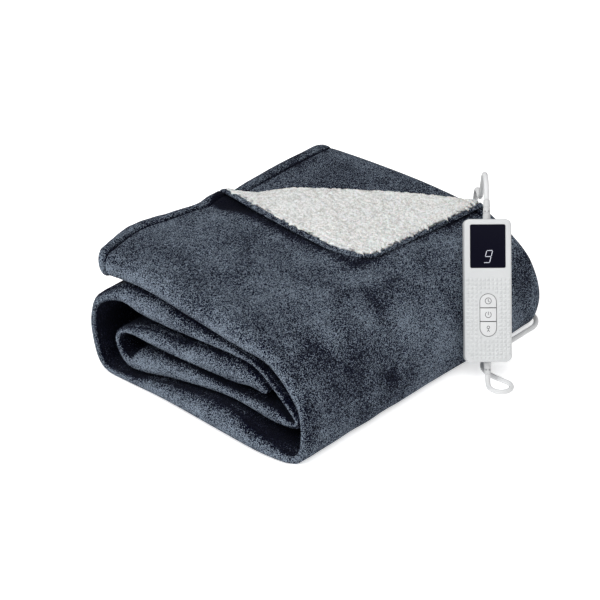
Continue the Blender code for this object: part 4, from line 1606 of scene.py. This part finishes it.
# ------------------------------------------------------------------ the handset
@dataclass
class Handset:
    """The handset with its window, its digit, its grip and its three keys.

    Its own frame has x across the face, y up it and z out of it, with the face at z = 0.
    """

    # the shells, and where they stand
    size: tuple[float, float, float] = (53 * MM, 160 * MM, 20 * MM)
    centre: Place = (81.2 * MM, -25.7 * MM, 99.9 * MM)
    turn: float = math.radians(-48)
    lean: float = math.radians(28)
    corner: float = 6.5 * MM
    edge: float = 2.2 * MM
    seam_edge: float = 0.25 * MM
    split: float = -9 * MM
    # the window and its lit digit
    window: tuple[float, float, float] = (39.4 * MM, 48.4 * MM, 1.2 * MM)
    window_y: float = 49.6 * MM
    window_corner: float = 1.6 * MM
    window_edge: float = 0.25 * MM
    digit_width: float = 6.5 * MM
    digit_half: float = 6.8 * MM
    digit_bar: float = 0.60 * MM
    digit_gap: float = 0.25 * MM
    digit_slant: float = 0.26
    digit_place: Span = (0.4 * MM, -11.6 * MM)
    digit_levels: Span = (-0.29 * MM, -0.22 * MM)
    # the keys, their pad and their printed signs
    pad: Span = (18.6 * MM, 47.8 * MM)
    pad_y: float = -27.5 * MM
    pad_room: float = 0.4 * MM
    # how far the dark sheet of painted shade sits below the keys
    shade_sheet_gap: float = 0.05 * MM
    over: float = 1 * MM
    splits: Span = (8.1 * MM, -7.2 * MM)
    key_rise: float = 0.6 * MM
    key_depth: float = 2.6 * MM
    key_play: float = 0.32 * MM
    key_edge: float = 0.4 * MM
    line: float = 0.42 * MM
    stroke_width: float = 0.60 * MM
    stroke_levels: Span = (-0.02 * MM, 0.03 * MM)
    # the grip's pyramids, and the flat of the face that they keep to
    grip_pitch: float = 4.6 * MM
    grip_rise: float = 1.10 * MM
    grip_point: float = 0.25 * MM
    grip_play: float = 0.1 * MM
    grip_keep: float = 0.8 * MM
    grip_top: float = 14.4 * MM
    grip_columns: int = 11
    grip_rows: int = 20
    face_inset: float = 0.55
    face_round: float = 0.72

    def __post_init__(self) -> None:
        """Work out where the handset stands, leaning against the front of the bundle."""
        right = Vector((math.cos(self.turn), math.sin(self.turn), 0))
        level = Vector((math.sin(self.turn), -math.cos(self.turn), 0))
        out = level * math.cos(self.lean) + Vector((0, 0, math.sin(self.lean)))
        turned = Matrix((right, out.cross(right), out)).transposed().to_4x4()
        self.place = Matrix.Translation(from_foot(*self.centre)) @ turned

    def point(self, x: float, y: float, z: float) -> Vector:
        """A point of the handset's own frame, in the part's frame."""
        return self.place @ Vector((x, y, z))

    def pill(self, room: float) -> Outline:
        """The outline of the keys' pad, grown by a room in all."""
        width, height = self.pad
        return rounded_outline(width + room, height + room, [(width + room) / 2] * 4, 16)

    def build_shells(self, finishes: Finishes) -> list[bpy.types.Object]:
        """The two shells, with the pockets of the window and the keys.

        Args:
            finishes: The object's materials.

        Returns:
            The shells and the dark sheet under the keys, painted shade for the gaps round them.
        """
        width, height, depth = self.size
        outline = rounded_outline(width, height, [self.corner] * 4, 12)
        back = slab(outline, -depth, self.split - GAP / 2, self.seam_edge, self.edge, 5)
        back_piece = add_piece("shell_back", back, (finishes.shell,), self.place)
        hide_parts("handset_back")
        front = slab(outline, self.split + GAP / 2, 0.0, self.edge, self.seam_edge, 5)
        front_piece = add_piece("shell_front", front, (finishes.shell,), self.place)
        window = rounded_outline(self.window[0] + 2 * GAP, self.window[1] + 2 * GAP,
                                 [self.window_corner + GAP] * 4)
        floor = -self.key_depth - self.pad_room
        pockets = (moved(slab(window, -self.window[2] - 2 * GAP, self.over), y=self.window_y),
                   moved(slab(self.pill(2 * GAP), floor, self.over), y=self.pad_y))
        cut_from(front_piece, pockets, self.place)
        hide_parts("handset_front")
        # a dark sheet on the pocket's floor: painted shade that darkens the gaps round the keys
        shade_sheet = moved(slab(self.pill(GAP), floor, -self.key_depth - self.shade_sheet_gap), y=self.pad_y)
        shade_sheet_piece = add_piece("key_gap_shade", shade_sheet, (finishes.shade_sheet,), self.place)
        return [back_piece, front_piece, shade_sheet_piece]

    def build_window(self, finishes: Finishes) -> bpy.types.Object:
        """The smoked window.

        Args:
            finishes: The object's materials.

        Returns:
            The window.
        """
        width, height, thick = self.window
        outline = rounded_outline(width, height, [self.window_corner] * 4)
        plate = moved(slab(outline, -thick - GAP, -GAP, self.window_edge), y=self.window_y)
        piece = add_piece("smoked_window", plate, (finishes.window,), self.place)
        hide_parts("display_window")
        return piece

    def build_digit(self, finishes: Finishes) -> bpy.types.Object:
        """A slanted seven-segment nine on the window, each lit segment its own bar.

        Args:
            finishes: The object's materials.

        Returns:
            The digit.
        """
        side, top = self.digit_width / 2, self.digit_half
        path = ((-side, top), (side, top), (side, 0.0), (side, -top), (-side, -top))
        ends = (*zip(path, path[1:]), (path[0], (-side, 0.0)), ((-side, 0.0), path[2]))
        digit = merged(self.segment(*pair) for pair in ends)
        moved(digit, x=self.digit_place[0], y=self.window_y + self.digit_place[1])
        return add_piece("lit_digit", digit, (finishes.glow,), self.place)

    def segment(self, start: Span, end: Span) -> bmesh.types.BMesh:
        """One lit bar with pointed ends.

        Args:
            start: Where it starts, before the slant.
            end: Where it ends.

        Returns:
            The bar.
        """
        half = self.digit_bar / 2
        run = (Vector(end) - Vector(start)).normalized()
        side = Vector((-run.y, run.x)) * half
        one, two = Vector(start) + run * self.digit_gap, Vector(end) - run * self.digit_gap
        shape = [one, one + run * half + side, two - run * half + side, two,
                 two - run * half - side, one + run * half - side]
        return slab([(point.x + self.digit_slant * point.y, point.y) for point in shape],
                    *self.digit_levels)

    def build_grip(self, finishes: Finishes) -> bpy.types.Object:
        """Low pyramids over the lower part of the face, left out round the keys.

        Args:
            finishes: The object's materials.

        Returns:
            The pyramids, as one piece.
        """
        bm = bmesh.new()
        pitch, play = self.grip_pitch, self.grip_play
        for row in range(self.grip_rows):
            for column in range(self.grip_columns):
                x = (column - (self.grip_columns - 1) / 2) * pitch
                y = self.grip_top - (row + 0.5) * pitch
                if self.near_keys(x, y) or not self.on_face(x, y):
                    continue
                spot = Matrix.Translation((x, y, (self.grip_rise - play) / 2))
                bmesh.ops.create_cone(bm, cap_ends=True, segments=4, radius1=pitch / math.sqrt(2) - play,
                                      radius2=self.grip_point, depth=self.grip_rise + play,
                                      matrix=spot @ Matrix.Rotation(math.pi / 4, 4, "Z"))
        return add_piece("grip_pyramids", bm, (finishes.shell,), self.place, sharp=3)

    def near_keys(self, x: float, y: float) -> bool:
        """Whether a pyramid would come too near the pill round the keys.

        Args:
            x: Its middle across the face.
            y: Its middle up the face.

        Returns:
            True where it is left out.
        """
        room = self.grip_keep + self.grip_pitch / 2
        straight = (self.pad[1] - self.pad[0]) / 2
        return math.hypot(x, max(abs(y - self.pad_y) - straight, 0.0)) < self.pad[0] / 2 + room

    def on_face(self, x: float, y: float) -> bool:
        """Whether a pyramid stands wholly on the flat of the face.

        Args:
            x: Its middle across the face.
            y: Its middle up the face.

        Returns:
            True where it does.
        """
        inset = self.edge + self.corner * self.face_inset + self.grip_pitch / 2
        past_x = max(abs(x) + inset - self.size[0] / 2, 0)
        past_y = max(abs(y) + inset - self.size[1] / 2, 0)
        return math.hypot(past_x, past_y) < self.corner * self.face_round

    def build_keys(self, finishes: Finishes) -> list[bpy.types.Object]:
        """Three keys that share one pill-shaped pad, each with its sign.

        Args:
            finishes: The object's materials.

        Returns:
            The caps and their signs.
        """
        pieces = []
        width, height = self.pad[0] - 2 * self.key_play, self.pad[1] - 2 * self.key_play
        radius = width / 2
        bounds = (height / 2, *self.splits, -height / 2)
        rounds = ((radius, radius, 0, 0), (0, 0, 0, 0), (0, 0, radius, radius))
        signs = {"key_timer": self.timer_sign, "key_power": self.power_sign, "key_heat": self.heat_sign}
        for index, (name, sign) in enumerate(signs.items()):
            top = bounds[index] - (self.line if index > 0 else 0)
            bottom = bounds[index + 1] + (self.line if index < 2 else 0)
            outline = rounded_outline(width, top - bottom, rounds[index], 14)
            key = slab(outline, self.key_rise - self.key_depth, self.key_rise, self.key_edge, segments=3)
            moved(key, y=self.pad_y + (top + bottom) / 2)
            cap = add_piece(f"{name}_cap", key, (finishes.key,), self.place, body=name)
            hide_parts(name)
            print_y = self.pad_y + sum(bounds[index:index + 2]) / 2
            mark = moved(sign(), y=print_y, z=self.key_rise)
            pieces += [cap, add_piece(f"{name}_sign", mark, (finishes.ink,), self.place, body=name)]
        return pieces

    def stroke(self, points: Sequence[Span]) -> bmesh.types.BMesh:
        """A printed line: short flat bars from point to point.

        Args:
            points: The line's points.

        Returns:
            The bars.
        """
        bars = []
        for (x1, y1), (x2, y2) in zip(points, points[1:]):
            run = Vector((x2 - x1, y2 - y1))
            length = run.length + self.stroke_width * 0.6
            turn = Matrix.Rotation(math.atan2(run.y, run.x), 4, "Z")
            outline = rounded_outline(length, self.stroke_width, [0] * 4)
            bar = slab(outline, *self.stroke_levels)
            bar.transform(Matrix.Translation(((x1 + x2) / 2, (y1 + y2) / 2, 0)) @ turn)
            bars.append(bar)
        return merged(bars)

    @staticmethod
    def arc(radius: float, start: float, end: float, y: float = 0.0, steps: int = 28) -> Outline:
        """Points on part of a circle, its angles in degrees and its middle at a height y."""
        angles = [math.radians(start + (end - start) * step / steps) for step in range(steps + 1)]
        return [(radius * math.cos(angle), y + radius * math.sin(angle)) for angle in angles]

    def timer_sign(self) -> bmesh.types.BMesh:
        """A clock face with two hands."""
        return merged((self.stroke(self.arc(3.4 * MM, 0, 360)),
                       self.stroke(((0, 2.1 * MM), (0, 0), (1.5 * MM, -1.3 * MM)))))

    def power_sign(self) -> bmesh.types.BMesh:
        """A ring open at the top, with a stem in the opening."""
        return merged((self.stroke(self.arc(3.3 * MM, 125, 415)),
                       self.stroke(((0, 3.3 * MM), (0, -0.2 * MM)))))

    def heat_sign(self) -> bmesh.types.BMesh:
        """A small bulb on a stem, for the heat level.

        Returns:
            The sign.
        """
        return merged((self.stroke(self.arc(1.45 * MM, 0, 360, 1.7 * MM, 18)),
                       self.stroke(((0, 0.2 * MM), (0, -1.3 * MM))),
                       self.stroke(((-1.2 * MM, -3.0 * MM), (0, -1.2 * MM), (1.2 * MM, -3.0 * MM)))))

    def build(self, finishes: Finishes) -> list[bpy.types.Object]:
        """Make every piece of the handset."""
        return [*self.build_shells(finishes), self.build_window(finishes), self.build_digit(finishes),
                self.build_grip(finishes), *self.build_keys(finishes)]


# ------------------------------------------------------------------ leads
@dataclass
class Leads:
    """The mains lead with its coil and plug, and the blanket lead with its inlet.

    Routes and the coil's sizes are in millimetres, measured from the middle of the front foot.
    """

    handset: Handset
    diameter: float = 6 * MM
    curve_steps: int = 5
    curve_ring: int = 6
    # the reliefs at the handset, and the dark discs of painted shade that stand for the small slots in
    # them
    straight: float = 3 * MM
    mains_relief: float = 22 * MM
    blanket_relief: float = 13.5 * MM
    vent_way: float = 9.0 * MM
    vent_turn: float = math.radians(30)
    vent_radius: float = 4.05 * MM
    vent_size: float = 0.62 * MM
    vent_depth: float = 0.5 * MM
    # the two leads' lengths and the mains lead's coil
    mains_length: float = 1.75
    blanket_length: float = 0.497
    coil_centre: Span = (282, 200)
    coil_radii: tuple[float, float, float] = (41.1, 34.8, 28.5)
    coil_levels: Span = (4.75, 11.05)
    coil_entry: Span = (6.5, 4.9)
    coil_exit: Span = (6.7, 9.0)
    coil_turns: float = 5.48
    coil_points: int = 20
    mains_route: tuple[Place, ...] = (
        (131, 18.9, 198.2), (138.3, 25.3, 202.7), (146.5, 32.4, 202.4), (153.5, 38.6, 197.8),
        (157.9, 42.5, 190.6), (163.8, 47.7, 177.6), (169.7, 52.8, 165.2), (174.2, 56.8, 158.6),
        (179.7, 61.6, 154.5), (186, 67.1, 152.7), (194.3, 74.3, 151.2), (201.1, 80.3, 149.5),
        (207.3, 85.7, 146.6), (212.8, 90.6, 141.4), (216.8, 94.1, 134.2), (219.1, 96.1, 125),
        (221.3, 98.2, 108), (226, 101.2, 84), (231.5, 105.5, 59), (236, 111, 38), (238.3, 122, 19),
        (238.3, 140, 8), (236, 160, 5), (234.6, 180, 4.9),
    )
    blanket_route: tuple[Place, ...] = (
        (52, -52, 5.9), (49.1, -54.7, 3.9), (46.2, -57.9, 3.1), (43.9, -62.2, 3.1),
        (43.1, -67.2, 3.1), (44.3, -72.4, 3.1), (47.6, -76.6, 3.1), (52.5, -79, 3.1),
        (57.9, -79.2, 3.1), (62.8, -77, 3.1), (66.3, -72.9, 3.1), (67.7, -67.6, 3.1),
        (67.7, -58, 3.1), (68, -48, 3.1), (70, -38, 3.1), (74.5, -29.5, 3.1),
        (82.5, -22.5, 3.1), (93.5, -18.3, 3.1), (108, -16, 3.1), (128, -15, 3.1),
        (152, -14.6, 3.1), (177, -14.6, 3.1), (197, -13.9, 3.1), (212, -5, 3.1), (219, 9, 3.1),
        (219.8, 30, 3.1), (219.3, 50, 3.1), (219, 75, 3.1), (218, 110, 3.1), (216, 150, 3.1),
        (214.5, 190, 3.8), (214, 220, 7.6), (214, 240.4, 8.8), (214, 243.4, 8.8),
    )
    plug_route: tuple[Place, ...] = (
        (329.8, 187, 9), (329.8, 172, 9.3), (326.1, 158.3, 10.6), (316.1, 148.3, 13),
        (302.4, 144.6, 16), (288.7, 148.3, 19), (278.7, 158.3, 21), (275, 172, 21.5),
        (275, 175, 21.5),
    )

    def tube(self, name: str, points: Sequence[Vector], material: bpy.types.Material) -> bpy.types.Object:
        """A lead: a round tube on one smooth curve through its points.

        Args:
            name: The piece's name.
            points: What the curve goes through.
            material: Its material.

        Returns:
            The curve.
        """
        curve = bpy.data.curves.new(name, "CURVE")
        curve.dimensions = "3D"
        curve.bevel_depth = self.diameter / 2
        curve.bevel_resolution = self.curve_ring
        curve.resolution_u = curve.render_resolution_u = self.curve_steps
        curve.use_fill_caps = True
        spline = curve.splines.new("BEZIER")
        spline.bezier_points.add(len(points) - 1)
        for index, (spot, point) in enumerate(zip(spline.bezier_points, points)):
            before, after = points[max(index - 1, 0)], points[min(index + 1, len(points) - 1)]
            run = (after - before).normalized()
            spot.co = point
            spot.handle_left_type = spot.handle_right_type = "FREE"
            spot.handle_left = point - run * (point - before).length / 3
            spot.handle_right = point + run * (after - point).length / 3
        curve.materials.append(material)
        thing = bpy.data.objects.new(name, curve)
        bpy.context.scene.collection.objects.link(thing)
        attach(thing, BUNDLE)
        return thing

    def exit_points(self, side: int, relief: float) -> list[Vector]:
        """The lead's first straight stretch out of a relief at the handset.

        Args:
            side: 1 at the handset's top and -1 at its foot.
            relief: The relief's length.

        Returns:
            The stretch's two points.
        """
        first = self.handset.size[1] / 2 + 2 * GAP + relief
        level = -self.handset.size[2] / 2
        return [self.handset.point(0, side * way, level) for way in (first, first + self.straight)]

    @staticmethod
    def from_route(route: Iterable[Place]) -> list[Vector]:
        """A route in the part's frame, in metres."""
        return [from_foot(*(MM * value for value in point)) for point in route]

    def coil_route(self) -> list[Place]:
        """The coil's points: three turns inwards on the floor, then outwards on top of them.

        Returns:
            The points.
        """
        steps = round(self.coil_turns * self.coil_points)
        route: list[Place] = []
        outer, middle, inner = self.coil_radii
        low, high = self.coil_levels
        radius_stops = ((0.0, outer + self.coil_entry[0]), (0.17, outer), (1.0, outer), (1.17, middle),
                        (2.0, middle), (2.17, inner), (3.63, inner), (3.80, middle), (4.63, middle),
                        (4.80, outer), (5.22, outer), (self.coil_turns, outer + self.coil_exit[0]))
        level_stops = ((0.0, self.coil_entry[1]), (0.3, low), (2.72, low), (3.0, high), (5.2, high),
                       (self.coil_turns, self.coil_exit[1]))
        for index in range(steps + 1):
            turn = self.coil_turns * index / steps
            radius, level = self.read(radius_stops, turn), self.read(level_stops, turn)
            angle = math.pi - 2 * math.pi * turn
            route.append((self.coil_centre[0] + radius * math.cos(angle),
                          self.coil_centre[1] + radius * math.sin(angle), level))
        return route

    @staticmethod
    def read(stops: Sequence[Span], place: float) -> float:
        """The value at a place between two stops, eased.

        Args:
            stops: Places and values, in order.
            place: The place.

        Returns:
            The value.
        """
        for (low, start), (high, end) in zip(stops, stops[1:]):
            if place <= high:
                return start + (end - start) * ease((place - low) / (high - low))
        return stops[-1][1]

    def build_vents(self, finishes: Finishes) -> bpy.types.Object:
        """Two small dark discs on the face of each relief at the handset: painted shade that stands for
        its slots.

        Args:
            finishes: The object's materials.

        Returns:
            The discs, as one piece.
        """
        level = -self.handset.size[2] / 2
        way = self.handset.size[1] / 2 + self.vent_way
        bm = bmesh.new()
        for y in (way, -way):
            for turn in (-self.vent_turn, self.vent_turn):
                x, z = self.vent_radius * math.sin(turn), level + self.vent_radius * math.cos(turn)
                place = Matrix.Translation((x, y, z)) @ Matrix.Rotation(turn, 4, "Y")
                bmesh.ops.create_cone(bm, cap_ends=True, segments=14, radius1=self.vent_size,
                                      radius2=self.vent_size, depth=self.vent_depth, matrix=place)
        return add_piece("relief_slot_shades", bm, (finishes.shade_sheet,), self.handset.place)

    def build_mains(self, finishes: Finishes) -> list[bpy.types.Object]:
        """The lead from the top of the handset over the bundle, its coil and its plug.

        Args:
            finishes: The object's materials.

        Returns:
            The lead and the nodes that go with it.
        """
        points = self.exit_points(1, self.mains_relief)
        points += self.from_route((*self.mains_route, *self.coil_route(), *self.plug_route))
        lead = self.tube("mains_cable", points, finishes.lead)
        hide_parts("mains_lead", "mains_coil", "mains_lead_end")
        looks = {"relief_mains": finishes.relief, "relief_plug": finishes.relief,
                 "plug_body": finishes.shell, "plug_pin_left": finishes.pin,
                 "plug_pin_right": finishes.pin, "coil_tie": finishes.tie}
        pieces = [lead, *(dress(node, material) for node, material in looks.items())]
        return pieces

    def build_blanket_lead(self, finishes: Finishes) -> list[bpy.types.Object]:
        """The lead from the foot of the handset to the inlet at the far end.

        Args:
            finishes: The object's materials.

        Returns:
            The lead and the nodes that go with it.
        """
        points = self.exit_points(-1, self.blanket_relief) + self.from_route(self.blanket_route)
        lead = self.tube("blanket_cable", points, finishes.lead)
        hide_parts("blanket_lead")
        looks = {"relief_blanket": finishes.relief, "relief_inlet": finishes.relief,
                 "blanket_inlet": finishes.shell}
        pieces = [lead, *(dress(node, material) for node, material in looks.items())]
        return pieces

    def build(self, finishes: Finishes) -> list[bpy.types.Object]:
        """Make both leads and the pieces that go with them."""
        return [self.build_vents(finishes), *self.build_mains(finishes),
                *self.build_blanket_lead(finishes)]


# ------------------------------------------------------------------ the studio
@dataclass
class Studio:
    """Camera, floor and lights."""

    lens: float = 116.4
    sensor: float = 36.0
    elevation: float = math.radians(28)
    azimuth: float = math.radians(-48.76)
    distance: float = 2.234
    target: Place = (-0.0141, 0.0282, 0.06)
    aim: Place = (0, 0, 0.08)
    floor_size: float = 14.0
    floor_drop: float = 0.2 * MM
    floor_dark: Colour = (0.92, 0.92, 0.92)
    floor_light: Colour = (0.95, 0.95, 0.95)
    floor_glow: float = 0.52
    sky_glow: float = 0.34

    def build_camera(self) -> None:
        """The camera at the photograph's viewing angle."""
        back = Vector((math.sin(self.azimuth) * math.cos(self.elevation),
                       -math.cos(self.azimuth) * math.cos(self.elevation), math.sin(self.elevation)))
        data = bpy.data.cameras.new("camera")
        data.lens, data.sensor_width = self.lens, self.sensor
        data.dof.use_dof = False
        camera = bpy.data.objects.new("camera", data)
        camera.location = Vector(self.target) + back * self.distance
        camera.rotation_euler = back.to_track_quat("Z", "Y").to_euler()
        bpy.context.scene.collection.objects.link(camera)
        bpy.context.scene.camera = camera

    def build_floor(self) -> None:
        """A plain pale floor, lit a little from within like a light table."""
        bm = bmesh.new()
        bmesh.ops.create_grid(bm, x_segments=1, y_segments=1, size=self.floor_size / 2)
        mesh = bpy.data.meshes.new("floor")
        moved(bm, z=-self.floor_drop).to_mesh(mesh)
        bm.free()
        recipe = Recipe("pale floor")
        recipe.join(recipe.ramp(recipe.noise(3.0), (0.2, self.floor_dark), (0.8, self.floor_light)),
                    "Base Color")
        recipe.constant(Roughness=0.9, Specular_IOR_Level=0.1, Emission_Color=(1.0, 1.0, 1.0),
                        Emission_Strength=self.floor_glow)
        mesh.materials.append(recipe.material)
        floor = bpy.data.objects.new("floor", mesh)
        bpy.context.scene.collection.objects.link(floor)

    def add_light(self, name: str, place: Place, size: float, power: float) -> None:
        """A soft square light aimed at the object.

        Args:
            name: The light's name.
            place: Where it stands.
            size: The length of its sides.
            power: Its power in watts.
        """
        data = bpy.data.lights.new(name, "AREA")
        data.shape, data.size, data.energy = "SQUARE", size, power
        light = bpy.data.objects.new(name, data)
        light.location = place
        light.rotation_euler = (Vector(place) - Vector(self.aim)).to_track_quat("Z", "Y").to_euler()
        bpy.context.scene.collection.objects.link(light)

    def build(self) -> None:
        """Set up the camera, the floor and the lights."""
        self.build_camera()
        self.build_floor()
        world = bpy.data.worlds.new("studio")
        world.use_nodes = True
        sky = world.node_tree.nodes["Background"].inputs
        sky["Color"].default_value = (1, 1, 1, 1)
        sky["Strength"].default_value = self.sky_glow
        bpy.context.scene.world = world
        bpy.context.scene.view_settings.view_transform = "Standard"
        self.add_light("overhead light", (-0.9, -0.6, 2.6), size=3.2, power=66)
        self.add_light("key light", (-2.2, 0.9, 1.9), size=1.4, power=34)
        place = bpy.context.scene.camera.location
        LOG.info("studio: camera at %s", tuple(round(value, 3) for value in place))


def main() -> None:
    """Build the studio and every piece of the object, in order, and report each piece."""
    logging.basicConfig(level=logging.INFO, format="%(name)s %(message)s")
    noise.seed_set(NOISE_SEED)
    Studio().build()
    finishes = Finishes()
    handset = Handset()
    for maker in (Leads(handset), Blanket(LetterFold()), handset):
        for piece in maker.build(finishes):
            looks = ", ".join(material.name for material in piece.data.materials)
            LOG.info("%s: %s", piece.name, looks)


if __name__ == "__main__":
    main()
